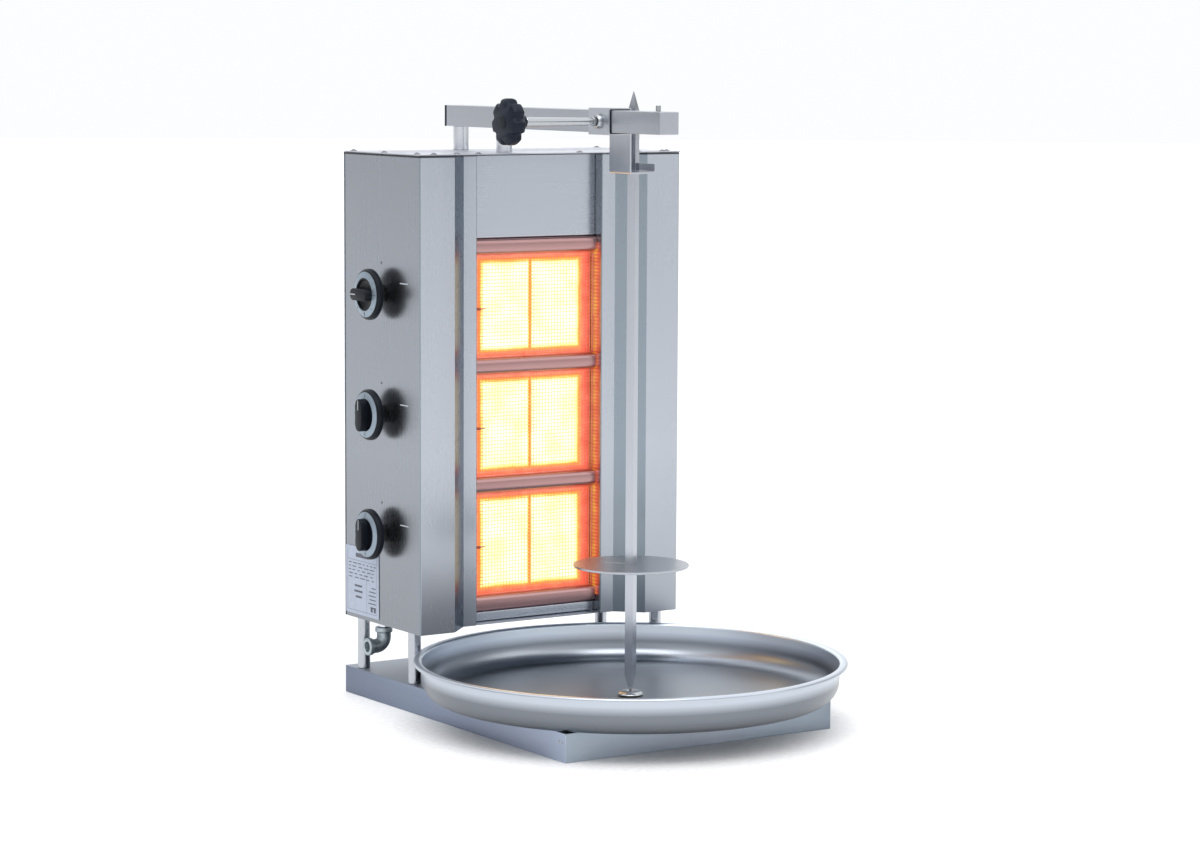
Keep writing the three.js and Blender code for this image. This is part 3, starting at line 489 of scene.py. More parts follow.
# painted light: the burners' glow on the housings and the woven screens
HOUSING = burner_lit_metal("burner_lit_housing", (0.45, 0.3, 0.25), [
    (0.0, (0.30, 0.02, 0.01)), (0.35, (0.85, 0.06, 0.03)),
    (0.8, (1.0, 0.22, 0.03)), (1.0, (0.95, 0.64, 0.13)),
], strength=1.0, spread=2.4)
GUARD_WIRE = burner_lit_metal("guard_wire", (0.4, 0.25, 0.2), [
    (0.0, (0.30, 0.03, 0.02)), (0.6, (0.75, 0.09, 0.04)),
    (0.8, (0.80, 0.35, 0.06)), (1.0, (0.80, 0.58, 0.16)),
], strength=0.9, spread=1.8)
BLACK_PLASTIC = moulded_plastic("black_plastic", (0.006, 0.008, 0.012), 0.34)
CLAMP_PLASTIC = moulded_plastic("clamp_plastic", (0.008, 0.012, 0.022), 0.42)
DIAL_SILVER = printed_foil("dial_silver", (0.26, 0.32, 0.38), 0.35, 0.6)
LABEL_FOIL = printed_foil("label_foil", (0.39, 0.44, 0.54), 0.5)
LABEL_INK = printed_foil("label_ink", (0.09, 0.10, 0.13), 0.6)
PORCELAIN = printed_foil("porcelain", (0.30, 0.06, 0.04), 0.4)
DARK_SCREW = brushed_metal("dark_screw", (0.22, 0.22, 0.24), 0.35, (300, 300, 300), 0.15)
PANEL_MARK = printed_foil("panel_mark", (0.12, 0.13, 0.15), 0.5)
PANEL_TICK = printed_foil("panel_tick", (0.44, 0.47, 0.51), 0.5)


# --- Mesh building blocks ---


def finish_piece(name, form, material, body, degrees=32):
    """Turns a bmesh into a piece that rides on a body and takes the finish of its material's slot."""
    bmesh.ops.recalc_face_normals(form, faces=form.faces)
    mesh = bpy.data.meshes.new(name)
    form.to_mesh(mesh)
    form.free()
    mesh.materials.append(material)
    mesh.shade_smooth()
    mesh.set_sharp_from_angle(angle=math.radians(degrees))
    piece = bpy.data.objects.new(name, mesh)
    scene.collection.objects.link(piece)
    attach(piece, body)
    return piece


def add_form(form, other):
    """Adds a copy of another bmesh to form."""
    mesh = bpy.data.meshes.new("scratch")
    other.to_mesh(mesh)
    other.free()
    form.from_mesh(mesh)
    bpy.data.meshes.remove(mesh)


def rounded(points, radius, steps=4):
    """An open outline with its inner corners replaced by arcs; radius is one number or one for each."""
    path = [Vector(point) for point in points]
    out = [path[0]]
    for i in range(1, len(path) - 1):
        size = radius[i - 1] if isinstance(radius, (list, tuple)) else radius
        before = (path[i - 1] - path[i]).normalized()
        after = (path[i + 1] - path[i]).normalized()
        half = math.acos(max(-1.0, min(1.0, before.dot(after)))) / 2
        if size <= 0 or half > math.radians(88):
            out.append(path[i])
            continue
        setback = size / math.tan(half)
        centre = path[i] + (before + after).normalized() * (size / math.sin(half))
        start = path[i] + before * setback - centre
        end = path[i] + after * setback - centre
        sweep = math.atan2(start.x * end.y - start.y * end.x, start.dot(end))
        for step in range(steps + 1):
            angle = sweep * step / steps
            turned_start = Vector((start.x * math.cos(angle) - start.y * math.sin(angle),
                                   start.x * math.sin(angle) + start.y * math.cos(angle)))
            out.append(centre + turned_start)
    out.append(path[-1])
    return out


UPRIGHT = Matrix.Identity(4)
OUTWARD_LEFT = Matrix.Rotation(-math.pi / 2, 4, "Y")  # turns +Z to -X


def placed(form, place, facing=UPRIGHT):
    """Turns a form about the origin, then moves it to its place."""
    bmesh.ops.transform(form, matrix=Matrix.Translation(place) @ facing, verts=form.verts)
    return form


def join_rings(form, rings, capped=False):
    """Adds the faces between each ring of vertices and the next; a ring may be a single vertex."""
    for lower, upper in zip(rings, rings[1:]):
        count = max(len(lower), len(upper))
        for i in range(count):
            j = (i + 1) % count
            corners = [(lower, i), (lower, j), (upper, j), (upper, i)]
            unique = list(dict.fromkeys(ring[k % len(ring)] for ring, k in corners))
            if len(unique) > 2:
                form.faces.new(unique)
    if capped:
        form.faces.new(rings[0][::-1])
        form.faces.new(rings[-1])


def soften(form, edges, size, steps):
    bmesh.ops.bevel(form, geom=edges, offset=size, segments=steps, profile=0.5, affect="EDGES")


def turned(profile, place, segments=64, facing=UPRIGHT, closed=False):
    """A turned form; profile is (radius, height) in metres. A closed profile is a loop off the axis."""
    form = bmesh.new()
    rings = []
    for radius, height in profile:
        on_axis = radius < 1e-6
        angles = [0.0] if on_axis else [2 * math.pi * i / segments for i in range(segments)]
        rings.append([form.verts.new((radius * math.cos(a), radius * math.sin(a), height)) for a in angles])
    join_rings(form, rings + rings[:1] if closed else rings)
    return placed(form, place, facing)


def prism(outline, low, high, edge=0.0, steps=2):
    """A flat outline (x, y) drawn out along Z from low to high, its end edges rounded by edge."""
    form = bmesh.new()
    join_rings(form, [[form.verts.new((x, y, z)) for x, y in outline] for z in (low, high)], capped=True)
    if edge:
        rims = [e for e in form.edges if abs(e.verts[0].co.z - e.verts[1].co.z) < 1e-9]
        soften(form, rims, edge, steps)
    return form


def bar(low, high, edge=0.0, steps=2):
    """A block between two corners with rounded edges."""
    form = bmesh.new()
    bmesh.ops.create_cube(form, size=1)
    low, high = Vector(low), Vector(high)
    placed(form, (low + high) / 2, Matrix.Diagonal((*(high - low), 1)))
    if edge:
        soften(form, form.edges[:], edge, steps)
    return form


def stadium(length, width, steps=12):
    """A rounded bar's outline, its length along X."""
    half, reach = width / 2, (length - width) / 2
    points = []
    for side in (1, -1):
        for i in range(steps + 1):
            angle = math.pi * (i / steps - side / 2)
            points.append((side * reach + half * math.cos(angle), half * math.sin(angle)))
    return points


def dress(material, edge, *names):
    """Gives CAD nodes their material, smooth shading and, unless edge is 0, a fine rounded edge."""
    for name in names:
        node = cad_nodes[name]
        mesh = node.data
        mesh.materials[0] = material
        if "custom_normal" in mesh.attributes:
            mesh.attributes.remove(mesh.attributes["custom_normal"])
        mesh.shade_smooth()
        weld = node.modifiers.new("weld", "WELD")
        weld.merge_threshold = 1e-5
        if edge:
            flats = node.modifiers.new("flats", "DECIMATE")
            flats.decimate_type = "DISSOLVE"
            flats.angle_limit = math.radians(0.4)
            bevel = node.modifiers.new("edges", "BEVEL")
            bevel.width = edge
            bevel.segments = 2
            bevel.limit_method = "ANGLE"
            bevel.angle_limit = math.radians(35)
            bevel.miter_outer = "MITER_ARC"
        normals = node.modifiers.new("normals", "WEIGHTED_NORMAL")
        normals.keep_sharp = False


# --- CAD nodes that keep their shape ---

SHEET_EDGE = 0.25 * MM
TURNED_EDGE = 0.3 * MM


def numbered(stem, count=3):
    return [f"{stem}_{number}" for number in range(1, count + 1)]


dress(TOWER_STEEL, SHEET_EDGE, "left_side_panel", "right_side_panel")
dress(TOWER_STEEL, 0, "back_panel")
dress(PANEL_STEEL, SHEET_EDGE, "upper_front_panel", "lower_front_panel")
dress(PANEL_STEEL, 0, "bottom_panel")
dress(LID_STEEL, 0, "top_lid")
dress(BASE_STEEL, 0.5 * MM, "base_tray")
dress(ARM_STEEL, 0.8 * MM, "arm_tube")
dress(BRACKET_STEEL, TURNED_EDGE, "carriage_bracket")
dress(RAIL_STEEL, SHEET_EDGE, *numbered("cross_rail", 4))
dress(SPIT_STEEL, 0.12 * MM, "spit")
dress(DISC_STEEL, 0.4 * MM, "spit_disc")
dress(BRIGHT_STEEL, TURNED_EDGE, "spit_socket", "arm_stop_pin", "clamp_screw", "clamp_boss")
dress(BRIGHT_STEEL, TURNED_EDGE, *numbered("valve_stem"))
for end in ("back", "front"):
    dress(LEG_STEEL, TURNED_EDGE, f"leg_post_{end}_left", f"leg_post_{end}_right")
dress(POST_STEEL, TURNED_EDGE, "arm_post_rear", "arm_post_front", "gas_inlet_pipe")
dress(CLAMP_PLASTIC, TURNED_EDGE, "sleeve_liner", "arm_end_cap")
dress(BRASS, TURNED_EDGE, "pan_bush", *numbered("gas_valve"))
dress(GALVANISED, SHEET_EDGE, "heat_shield", "gas_manifold", *numbered("burner_feed_pipe"))
dress(HOUSING, SHEET_EDGE, *numbered("burner_housing"))


# --- Drip pan ---


def sheet_profile(outer, thickness):
    """The closed section of a bent sheet; the sheet lies to the left of its outer path."""
    inner = []
    for i, point in enumerate(outer):
        into = (point - outer[i - 1]).normalized() if i else None
        onward = (outer[i + 1] - point).normalized() if i < len(outer) - 1 else None
        first, second = into or onward, onward or into
        normal = Vector((-first.y, first.x))
        mitre = (normal + Vector((-second.y, second.x))).normalized()
        inner.append(point + mitre * (thickness / mitre.dot(normal)))
    return list(outer) + inner[::-1]


def add_drip_pan():
    """The pan spun from one sheet, its rim rolled outwards and down."""
    low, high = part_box("drip_pan")
    radius = (high.x - low.x) / 2
    thickness, bore = 1.6 * MM, 7.3 * MM
    floor, rim = low.z, high.z - thickness
    lip = radius - thickness
    path = [(bore, floor), (radius - 13 * MM, floor), (radius - 10 * MM, rim), (lip, rim),
            (lip, high.z - 4 * MM)]
    outer = rounded(path, [27 * MM, 2.5 * MM, 1.5 * MM], 8)
    form = turned(sheet_profile(outer, thickness), SPIT_AXIS, 192, closed=True)
    pan = finish_piece("pan_spun", form, PAN_STEEL, "pan", 40)
    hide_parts("drip_pan")


add_drip_pan()


# --- Burners: embossed ceramic plates behind a fine woven screen ---


def embossed_plate(node, pitch=6 * MM, recess=0.8 * MM, margin=0.16):
    """A ceramic plate whose front is a grid of shallow square recesses."""
    low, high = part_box(node)
    columns = round((high.x - low.x) / pitch)
    rows = round((high.z - low.z) / pitch)
    step_x, step_z = (high.x - low.x) / columns, (high.z - low.z) / rows
    form = bmesh.new()
    corner = [[form.verts.new((low.x + i * step_x, low.y, low.z + j * step_z)) for j in range(rows + 1)]
              for i in range(columns + 1)]
    for i in range(columns):
        for j in range(rows):
            outer = [corner[i][j], corner[i + 1][j], corner[i + 1][j + 1], corner[i][j + 1]]
            centre = sum((v.co for v in outer), Vector()) / 4
            rim = [form.verts.new(v.co.lerp(centre, margin * 2)) for v in outer]
            sunk = [form.verts.new(v.co.lerp(centre, margin) + Vector((0, recess, 0))) for v in rim]
            join_rings(form, [outer, rim, sunk])
            form.faces.new(sunk)
    back = [form.verts.new((x, high.y, z))
            for x, z in ((low.x, low.z), (high.x, low.z), (high.x, high.z), (low.x, high.z))]
    form.faces.new(back[::-1])
    bottom = [column[0] for column in corner]
    top = [column[rows] for column in corner]
    form.faces.new(bottom[::-1] + [back[0], back[1]])
    form.faces.new(top + [back[2], back[3]])
    form.faces.new(corner[0] + [back[3], back[0]])
    form.faces.new(corner[columns][::-1] + [back[1], back[2]])
    plate = finish_piece(f"{node}_embossed", form, CERAMIC, "casing", 20)
    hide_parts(node)


WIRE_RADIUS = 0.42 * MM
WEAVE = WIRE_RADIUS * 0.9  # how far a wire passes over and under the others
BACKWARD = Vector((0, 1, 0))


def woven_wire(form, start, along, count, step, phase):
    """Adds one wire with a ring of four points at each crossing, bent over and under."""
    side = BACKWARD.cross(along)
    outward = (side, BACKWARD, -side, -BACKWARD)
    rings = []
    for i in range(count):
        centre = start + along * (step * i) + BACKWARD * (WEAVE if (i + phase) % 2 else -WEAVE)
        rings.append([form.verts.new(centre + out * WIRE_RADIUS) for out in outward])
    join_rings(form, rings, capped=True)


def woven_screen(node, border=2.2 * MM):
    """A woven wire screen held in a narrow flat frame."""
    low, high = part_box(node)
    form = bmesh.new()
    columns = round((high.x - low.x - border) / WIRE_PITCH)
    rows = round((high.z - low.z - border) / WIRE_PITCH)
    step_x, step_z = (high.x - low.x - border) / columns, (high.z - low.z - border) / rows
    first = Vector((low.x + border / 2, (low.y + high.y) / 2, low.z + border / 2))
    rightward, upward = Vector((1, 0, 0)), Vector((0, 0, 1))
    for i in range(1, columns):
        woven_wire(form, first + rightward * (step_x * i), upward, rows + 1, step_z, i)
    for j in range(1, rows):
        woven_wire(form, first + upward * (step_z * j), rightward, columns + 1, step_x, j + 1)
    left, right = low.x + border, high.x - border
    for x0, x1, z0, z1 in (
        (low.x, left, low.z, high.z), (right, high.x, low.z, high.z),
        (left, right, low.z, low.z + border), (left, right, high.z - border, high.z),
    ):
        add_form(form, bar((x0, low.y, z0), (x1, high.y, z1), 0.2 * MM, 1))
    screen = finish_piece(f"{node}_woven", form, GUARD_WIRE, "casing", 50)
    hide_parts(node)


def add_igniter(index):
    """A porcelain-sleeved electrode that reaches in from the left wall beside each burner."""
    low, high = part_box(f"guard_mesh_{index}")
    depth, height = low.y - 4 * MM, (low.z + high.z) / 2 - 3 * MM
    sleeve_end, tip_end = low.x + 14 * MM, low.x + 22 * MM
    profile = [(0, 0), (2.2 * MM, 0), (2.2 * MM, 12 * MM), (1.2 * MM, 14 * MM), (0, 14 * MM)]
    sleeve = turned(rounded(profile, 0.4 * MM, 2), (sleeve_end, depth, height), 20, OUTWARD_LEFT)
    finish_piece(f"igniter_sleeve_{index}", sleeve, PORCELAIN, "casing")
    profile = [(0, 0), (0.7 * MM, 0), (0.7 * MM, 9 * MM), (0, 9 * MM)]
    tip = turned(rounded(profile, 0.2 * MM, 2), (tip_end, depth, height), 12, OUTWARD_LEFT)
    finish_piece(f"igniter_tip_{index}", tip, DARK_SCREW, "casing")


for burner in BURNERS:
    for side in ("left", "right"):
        embossed_plate(f"ceramic_plate_{burner}_{side}")
    woven_screen(f"guard_mesh_{burner}")
    add_igniter(burner)


# --- Gas knobs ---

LEVEL_KNOB = 1  # the top knob's grip lies level, the others stand upright
PANEL_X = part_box("left_side_panel")[0].x
KNOB_SKIRT, KNOB_FACE = 14.5 * MM, 25.5 * MM  # heights above the side panel
GRIP_HALF = 23 * MM
DIAL_INNER, DIAL_OUTER = 23.3 * MM, 32 * MM
DIAL_LOW, DIAL_HIGH = KNOB_FACE + 0.25 * MM, KNOB_FACE + 2.3 * MM
# each mark's place in degrees, its length and its width
DIAL_MARKS = ((0, 6.5, 1.2), (45, 3, 0.9), (90, 5, 2.4), (135, 3, 0.9), (180, 5, 1.6))


def knob_profile(radius):
    """The knob's section, from the floor of its bore round its skirt to the dished middle."""
    bore, bore_floor = 4.4 * MM, 17 * MM
    outline = rounded([
        (bore, 4 * MM), (13 * MM, 4 * MM), (14.5 * MM, KNOB_SKIRT - 1 * MM), (radius - 3 * MM, KNOB_SKIRT),
        (radius, KNOB_SKIRT + 2.5 * MM), (radius, KNOB_FACE - 3 * MM), (radius - 2.5 * MM, KNOB_FACE),
        (23 * MM, KNOB_FACE + 2.4 * MM), (21.5 * MM, KNOB_FACE + 2.4 * MM), (19.5 * MM, KNOB_FACE + 0.2 * MM),
        (12 * MM, KNOB_FACE - 1.2 * MM), (0, KNOB_FACE - 1.5 * MM),
    ], [0.5 * MM, 1.5 * MM, 1 * MM, 1.5 * MM, 1.5 * MM, 1 * MM, 0.5 * MM, 0.6 * MM, 1 * MM, 2 * MM], 3)
    return [(0, bore_floor), (bore, bore_floor)] + outline


def knob_grip():
    """A finger grip whose sides are hollowed."""
    grip = prism(stadium(2 * GRIP_HALF, 18 * MM), KNOB_FACE - 1.4 * MM, KNOB_FACE + 13 * MM, 1.8 * MM, 4)
    for vert in grip.verts:
        reach = vert.co.x / GRIP_HALF
        vert.co.y *= 0.82 + 0.18 * min(1.0, reach * reach * 1.4)
    return grip


def dial_marks():
    """Plain ticks that lie on the dial's cone."""
    marks = bmesh.new()
    lean = Matrix.Rotation(math.atan2(DIAL_HIGH - DIAL_LOW, DIAL_OUTER - DIAL_INNER), 4, "Y")
    spot = Matrix.Translation((27.6 * MM, 0, (DIAL_LOW + DIAL_HIGH) / 2 + 0.25 * MM)) @ lean
    for degrees, length, width in DIAL_MARKS:
        half_length, half_width = length / 2 * MM, width / 2 * MM
        mark = bar((-half_length, -half_width, 0), (half_length, half_width, 0.5 * MM), 0.1 * MM, 1)
        add_form(marks, placed(mark, (0, 0, 0), Matrix.Rotation(math.radians(degrees), 4, "Z") @ spot))
    return marks


def add_gas_knob(index):
    """A black knob: a skirt with a silver dial on its cone, a dished middle and a finger grip."""
    node = f"gas_knob_{index}"
    low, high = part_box(node)
    valve = middle(f"valve_stem_{index}")
    place = (PANEL_X, valve.y, valve.z)
    facing = OUTWARD_LEFT @ Matrix.Rotation(math.pi / 2 if index == LEVEL_KNOB else 0, 4, "Z")

    form = turned(knob_profile((high.z - low.z) / 2), place, 96, OUTWARD_LEFT)
    knob = finish_piece(f"control_knob_{index}", form, BLACK_PLASTIC, node, 40)
    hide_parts(node)
    finish_piece(f"knob_grip_{index}", placed(knob_grip(), place, facing), BLACK_PLASTIC, node, 40)
    dial = turned([(DIAL_INNER, DIAL_HIGH), (DIAL_INNER, DIAL_HIGH + 0.35 * MM),
                   (DIAL_OUTER, DIAL_LOW + 0.6 * MM), (DIAL_OUTER, DIAL_LOW)],
                  place, 96, OUTWARD_LEFT, closed=True)
    finish_piece(f"knob_dial_{index}", dial, DIAL_SILVER, node, 30)
    finish_piece(f"knob_marks_{index}", placed(dial_marks(), place, facing), LABEL_INK, node, 30)
    line = bar((7 * MM, -0.7 * MM, KNOB_FACE + 12.9 * MM),
               (21 * MM, 0.7 * MM, KNOB_FACE + 13.2 * MM), 0.1 * MM, 1)
    finish_piece(f"knob_pointer_{index}", placed(line, place, facing), PANEL_TICK, node, 30)


def add_panel_marks(index):
    """A dot above each gas knob and a tick beside it."""
    valve = middle(f"valve_stem_{index}")
    surface = PANEL_X - 0.05 * MM
    profile = rounded([(0, 0.5 * MM), (1.5 * MM, 0.5 * MM), (1.5 * MM, 0), (0, 0)], 0.2 * MM, 2)
    dot = turned(profile, (surface, valve.y, valve.z + 44 * MM), 20, OUTWARD_LEFT)
    finish_piece(f"off_mark_{index}", dot, PANEL_MARK, "casing")
    tick = bar((PANEL_X - 0.4 * MM, valve.y - 75 * MM, valve.z + 17 * MM),
               (surface, valve.y - 53 * MM, valve.z + 18.6 * MM), 0.1 * MM, 1)
    finish_piece(f"flame_mark_{index}", tick, PANEL_TICK, "casing")


for burner in BURNERS:
    add_gas_knob(burner)
    add_panel_marks(burner)


# --- Clamp knob ---

CLAMP_LOBES = 7
CLAMP_HEAD = 20 * MM
# the head's rounded section: heights in millimetres and parts of the full radius
HEAD_LAYERS = ((0, 0.80), (0.6, 0.86), (1.8, 0.93), (3.6, 0.975), (6.5, 1.0),
               (13.5, 1.0), (16.4, 0.975), (18.2, 0.93), (19.4, 0.86), (20, 0.80))
HOLLOW_DEPTH = 0.17  # of the radius
HOLLOW_WIDTH = 0.72  # the lobes keep their full radius where the wave is above this


def lobed_ring(form, radius, height, points=24 * CLAMP_LOBES):
    """A ring of vertices with wide lobes and narrower hollows."""
    ring = []
    for i in range(points):
        angle = 2 * math.pi * i / points
        wave = min(1.0, abs(math.cos(CLAMP_LOBES * angle / 2)) / HOLLOW_WIDTH) ** 2
        lobe = radius * (1 - HOLLOW_DEPTH + HOLLOW_DEPTH * wave)
        ring.append(form.verts.new((lobe * math.cos(angle), lobe * math.sin(angle), height)))
    return ring


def add_clamp_knob():
    """A star knob: rounded lobes with narrower hollows between them, a flat cap and a round hub."""
    low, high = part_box("clamp_knob")
    axis = middle("clamp_screw")
    radius = (high.z - low.z) / 2 + 0.6 * MM
    form = bmesh.new()
    rings = [lobed_ring(form, radius * size, height * MM) for height, size in HEAD_LAYERS]
    join_rings(form, rings, capped=True)
    placed(form, (low.x + CLAMP_HEAD, axis.y, axis.z), OUTWARD_LEFT)
    knob = finish_piece("star_knob", form, CLAMP_PLASTIC, "clamp_knob", 42)
    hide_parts("clamp_knob")
    bore = 4.4 * MM
    profile = rounded([(bore, 0), (9 * MM, 0), (10.5 * MM, 4 * MM), (17 * MM, 14 * MM), (17 * MM, 15 * MM),
                       (bore, 15 * MM)], [1 * MM, 3 * MM, 2 * MM, 0, 0], 3)
    hub = turned(profile, (high.x, axis.y, axis.z), 64, OUTWARD_LEFT, closed=True)
    finish_piece("star_knob_hub", hub, CLAMP_PLASTIC, "clamp_knob", 40)
    profile = rounded([(0, 1.2 * MM), (8 * MM, 1.2 * MM), (9 * MM, 0), (9 * MM, -1 * MM), (0, -1 * MM)],
                      [0.8 * MM, 0.4 * MM, 0], 3)
    cap = turned(profile, (low.x, axis.y, axis.z), 48, OUTWARD_LEFT)
    finish_piece("star_knob_cap", cap, BLACK_PLASTIC, "clamp_knob", 40)


def add_clamp_thread():
    """The screw's thread, and a hexagonal lock nut just before the boss."""
    axis = middle("clamp_screw")
    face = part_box("clamp_boss")[0].x
    radius, pitch, turns, steps = 4.25 * MM, 1.25 * MM, 3, 24
    form = bmesh.new()
    rings = []
    for i in range(turns * steps + 1):
        angle = 2 * math.pi * i / steps
        grow = min(1.0, i / steps, turns - i / steps)  # the thread runs out over its first and last turns
        ring = []
        for out, across in ((-0.5, -0.45), (0.28 * grow, 0.0), (-0.5, 0.45)):
            reach = radius + out * MM
            height = pitch * i / steps + across * MM
            ring.append(form.verts.new((reach * math.cos(angle), reach * math.sin(angle), height)))
        rings.append(ring)
    join_rings(form, rings, capped=True)
    placed(form, (face - 6 * MM, axis.y, axis.z), OUTWARD_LEFT)
    finish_piece("clamp_thread", form, BRIGHT_STEEL, "clamp_screw", 60)
    corners = [math.pi * i / 3 for i in range(6)]
    outline = [(6.4 * MM * math.cos(angle), 6.4 * MM * math.sin(angle)) for angle in corners]
    nut = placed(prism(outline, 0, 4.5 * MM, 0.5 * MM), (face - 1 * MM, axis.y, axis.z), OUTWARD_LEFT)
    finish_piece("clamp_lock_nut", nut, BRIGHT_STEEL, "clamp_screw", 30)


add_clamp_knob()
add_clamp_thread()


# --- Fastenings ---


def dome_screw(name, place, facing=UPRIGHT, radius=3.6 * MM, height=2.2 * MM):
    """A domed screw head with a slight raised cross, on a thin washer."""
    arc = [math.pi / 2 * i / 8 for i in range(9)]
    form = turned([(radius * math.cos(a), height * math.sin(a)) for a in arc], (0, 0, 0), 28)
    reach, low, high = radius * 1.35, 0.05 * MM, 0.7 * MM
    washer = rounded([(0, low), (reach, low), (reach, high), (0, high)], 0.2 * MM, 2)
    add_form(form, turned(washer, (0, 0, 0), 28))
    length, width = radius * 0.55, radius * 0.11
    for turn in (0, math.pi / 2):
        arm = bar((-length, -width, height * 0.55), (length, width, height * 1.02), 0.1 * MM, 1)
        add_form(form, placed(arm, (0, 0, 0), Matrix.Rotation(turn, 4, "Z")))
    finish_piece(name, placed(form, place, facing), DARK_SCREW, "casing", 35)


LID_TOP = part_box("top_lid")[1].z
FRONT_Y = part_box("top_lid")[0].y
BACK_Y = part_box("back_panel")[1].y
SIDE_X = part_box("top_lid")[1].x
FACING_BACK = Matrix.Rotation(-math.pi / 2, 4, "X")

lid_places = [(x * MM, FRONT_Y + 10 * MM) for x in (-189, -152, -117, 51, 150, 193)]
lid_places += [(-SIDE_X + 10 * MM, FRONT_Y + y * MM) for y in (25, 116, 204)]
lid_places += [(SIDE_X - 10 * MM, FRONT_Y + y * MM) for y in (20, 116, 204)]
for number, (x, y) in enumerate(lid_places, 1):
    dome_screw(f"lid_screw_{number}", (x, y, LID_TOP))
back_places = [(side * (SIDE_X - 8 * MM), z * MM) for side in (-1, 1) for z in (130, 450, 771)]
for number, (x, z) in enumerate(back_places, 1):
    dome_screw(f"back_screw_{number}", (x, BACK_Y, z), FACING_BACK, 3.4 * MM, 2.4 * MM)


def add_base_rivets():
    """Two rivets where the base tray's front corner is closed."""
    low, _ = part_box("base_tray")
    profile = rounded([(0, 0.7 * MM), (1.7 * MM, 0.7 * MM), (2.2 * MM, -0.1 * MM), (0, -0.1 * MM)],
                      [0.6 * MM, 0], 3)
    for number, y in enumerate((7, 15), 1):
        place = (low.x, low.y + y * MM, low.z + 26 * MM)
        finish_piece(f"base_rivet_{number}", turned(profile, place, 24, OUTWARD_LEFT), BRIGHT_STEEL, "casing")


add_base_rivets()


# --- Rating plate: a foil plate with blank bars in place of any wording ---


def add_rating_plate():
    """The plate with rounded corners, and ruled lines, bars and blocks on it."""
    low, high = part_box("rating_plate")
    width, height = high.y - low.y, high.z - low.z
    outline = rounded([(0, -height / 2), (width / 2, -height / 2), (width / 2, height / 2),
                       (-width / 2, height / 2), (-width / 2, -height / 2), (0, -height / 2)], 2 * MM, 4)[:-1]
    plate = prism([(p.x, p.y) for p in outline], 0, high.x - low.x, 0.15 * MM, 1)
    # the outline's X runs towards the back of the tower, its Y upwards
    facing = Matrix(((0, 0, -1), (1, 0, 0), (0, 1, 0))).to_4x4()
    placed(plate, (high.x, (low.y + high.y) / 2, (low.z + high.z) / 2), facing)
    piece = finish_piece("label_plate", plate, LABEL_FOIL, "casing")
    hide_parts("rating_plate")

    rng = random.Random(7)
    bars = bmesh.new()

    def put(y0, z0, y1, z1):
        add_form(bars, bar((low.x - 0.06 * MM, low.y + y0 * MM, low.z + z0 * MM),
                           (low.x + 0.05 * MM, low.y + y1 * MM, low.z + z1 * MM)))

    right, top = width / MM - 5, height / MM - 6
    put(5, 5, 5.5, top)  # a ruled frame
    put(right - 0.5, 5, right, top)
    put(5, 5, right, 5.5)
    put(5, top - 14, right, top - 13.5)
    put(34, 5, 34.5, top - 30)
    put(34, 17, 34.5, 17.5)
    put(30, top - 9, 66, top - 3)  # a blank heading
    for row in range(5):
        z = top - 19 - row * 5.2
        place = right - 4
        while place > 12:
            length = rng.uniform(5, 14)
            put(max(8, place - length), z, place, z + 1.5)
            place -= length + rng.uniform(3, 8)
    for row in range(6):
        z = top - 50 - row * 5.6
        put(8, z, 8 + rng.uniform(12, 23), z + 1.6)
    for row in range(3):
        z = 40 - row * 8
        put(42 + rng.uniform(0, 8), z, 74 - rng.uniform(0, 8), z + 3)
    put(8, 8, 14, 15)  # two blank blocks
    put(17, 8, 23, 15)
    finish_piece("label_bars", bars, LABEL_INK, "casing")


add_rating_plate()


# --- Gas inlet ---


def add_inlet_elbow():
    """A malleable elbow with a beaded rim at its upper end and at its open mouth."""
    low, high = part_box("gas_inlet_elbow")
    rim, tube, bend = 12.5 * MM, 10.2 * MM, 13 * MM
    centre = Vector((high.x - rim, (low.y + high.y) / 2, low.z + rim))
    steps, around = 14, 40
    form = bmesh.new()
    rings = []
    for i in range(steps + 1):  # the knuckle turns from straight up to straight left
        angle = math.pi / 2 * i / steps
        outward = Vector((math.cos(angle), 0, -math.sin(angle)))
        spot = centre + Vector((-bend, 0, bend)) + outward * bend
        rings.append([form.verts.new(spot + outward * (tube * math.cos(t)) + BACKWARD * (tube * math.sin(t)))
                      for t in (2 * math.pi * k / around for k in range(around))])
    join_rings(form, rings, capped=True)

    def collar(end, bore_depth, facing):
        wall, bore, start = tube + 0.1 * MM, 7.6 * MM, bend - 1 * MM
        profile = rounded([(0, start), (wall, start), (wall, end - 8 * MM), (rim, end - 7 * MM), (rim, end),
                           (bore, end), (bore, end - bore_depth), (0, end - bore_depth)],
                          [0, 1 * MM, 1.2 * MM, 1 * MM, 0.5 * MM, 0, 0], 3)
        add_form(form, turned(profile, centre, around, facing))

    collar(high.z - centre.z, 4 * MM, UPRIGHT)
    collar(centre.x - low.x, 12 * MM, OUTWARD_LEFT)
    elbow = finish_piece("inlet_elbow", form, GALVANISED, "casing", 40)
    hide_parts("gas_inlet_elbow")


add_inlet_elbow()


# --- Floor, light and surroundings ---

FLOOR_RADIUS = 30


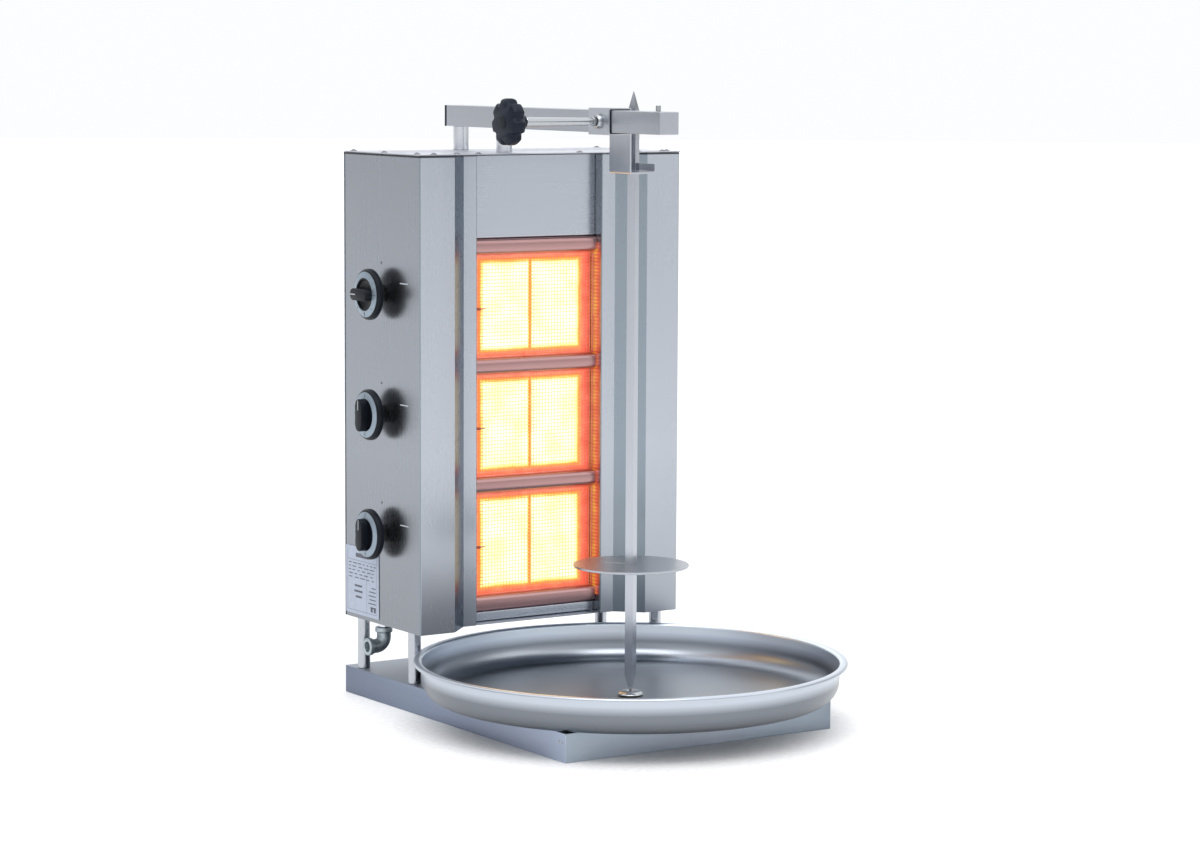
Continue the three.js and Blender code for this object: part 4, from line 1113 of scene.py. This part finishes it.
def add_floor():
    """A pale sheet of paper, a hair below the object's feet."""
    form = turned([(0, 0), (FLOOR_RADIUS, 0)], (0, 0, -0.2 * MM), 96)
    mesh = bpy.data.meshes.new("floor")
    form.to_mesh(mesh)
    form.free()
    mesh.materials.append(printed_foil("floor_paper", (0.90, 0.90, 0.90), 0.8))
    floor = bpy.data.objects.new("floor", mesh)
    scene.collection.objects.link(floor)


def add_softbox(name, place, target, size, power):
    data = bpy.data.lights.new(name, "AREA")
    data.shape = "RECTANGLE"
    data.size, data.size_y = size
    data.energy = power
    light = bpy.data.objects.new(name, data)
    light.location = place
    light.rotation_mode = "QUATERNION"
    light.rotation_quaternion = (Vector(target) - light.location).to_track_quat("-Z", "Y")
    scene.collection.objects.link(light)


def add_surroundings():
    """A pale room, brightest behind the object and dimmer to both sides."""
    world = bpy.data.worlds.new("studio")
    world.use_nodes = True
    scene.world = world
    tree = world.node_tree
    background = tree.nodes["Background"]
    direction = add_node(tree, "ShaderNodeTexCoord").outputs["Generated"]
    x, y, z = split(tree, direction)
    across = value_range(tree, x, 0.0, 1.0, -1.0, 1.0)

    def greys(stops):
        """A ramp of pale greys from the left (-1) to the right (1)."""
        return ramp(tree, across, [((side + 1) / 2, shade((0.97, 0.985, 1.0), v)) for side, v in stops])

    behind = greys([(-1.0, 0.42), (-0.7, 0.45), (-0.3, 1.0), (0.2, 1.0), (0.88, 1.0), (1.0, 0.5)])
    before = greys([(-1.0, 0.7), (-0.5, 0.78), (0.2, 0.74), (0.6, 0.62), (0.8, 0.4), (1.0, 0.25)])
    level = mixed(tree, value_range(tree, y, 0.0, 1.0, -0.35, 0.35), before, behind)
    sky = mixed(tree, value_range(tree, z, 0.0, 1.0, 0.15, 0.75), level, (1.5, 1.51, 1.53, 1))
    feed(tree, background, [("Color", sky), ("Strength", 1.0)])


add_floor()
add_surroundings()
add_softbox("overhead_softbox", (-0.8, -1.2, 3.4), (0, 0, 0.3), (2.4, 1.6), 40)
add_softbox("right_softbox", (2.6, -2.6, 1.9), (0, 0, 0.4), (2.0, 2.0), 8)
scene.view_settings.view_transform = "Standard"
add_camera()
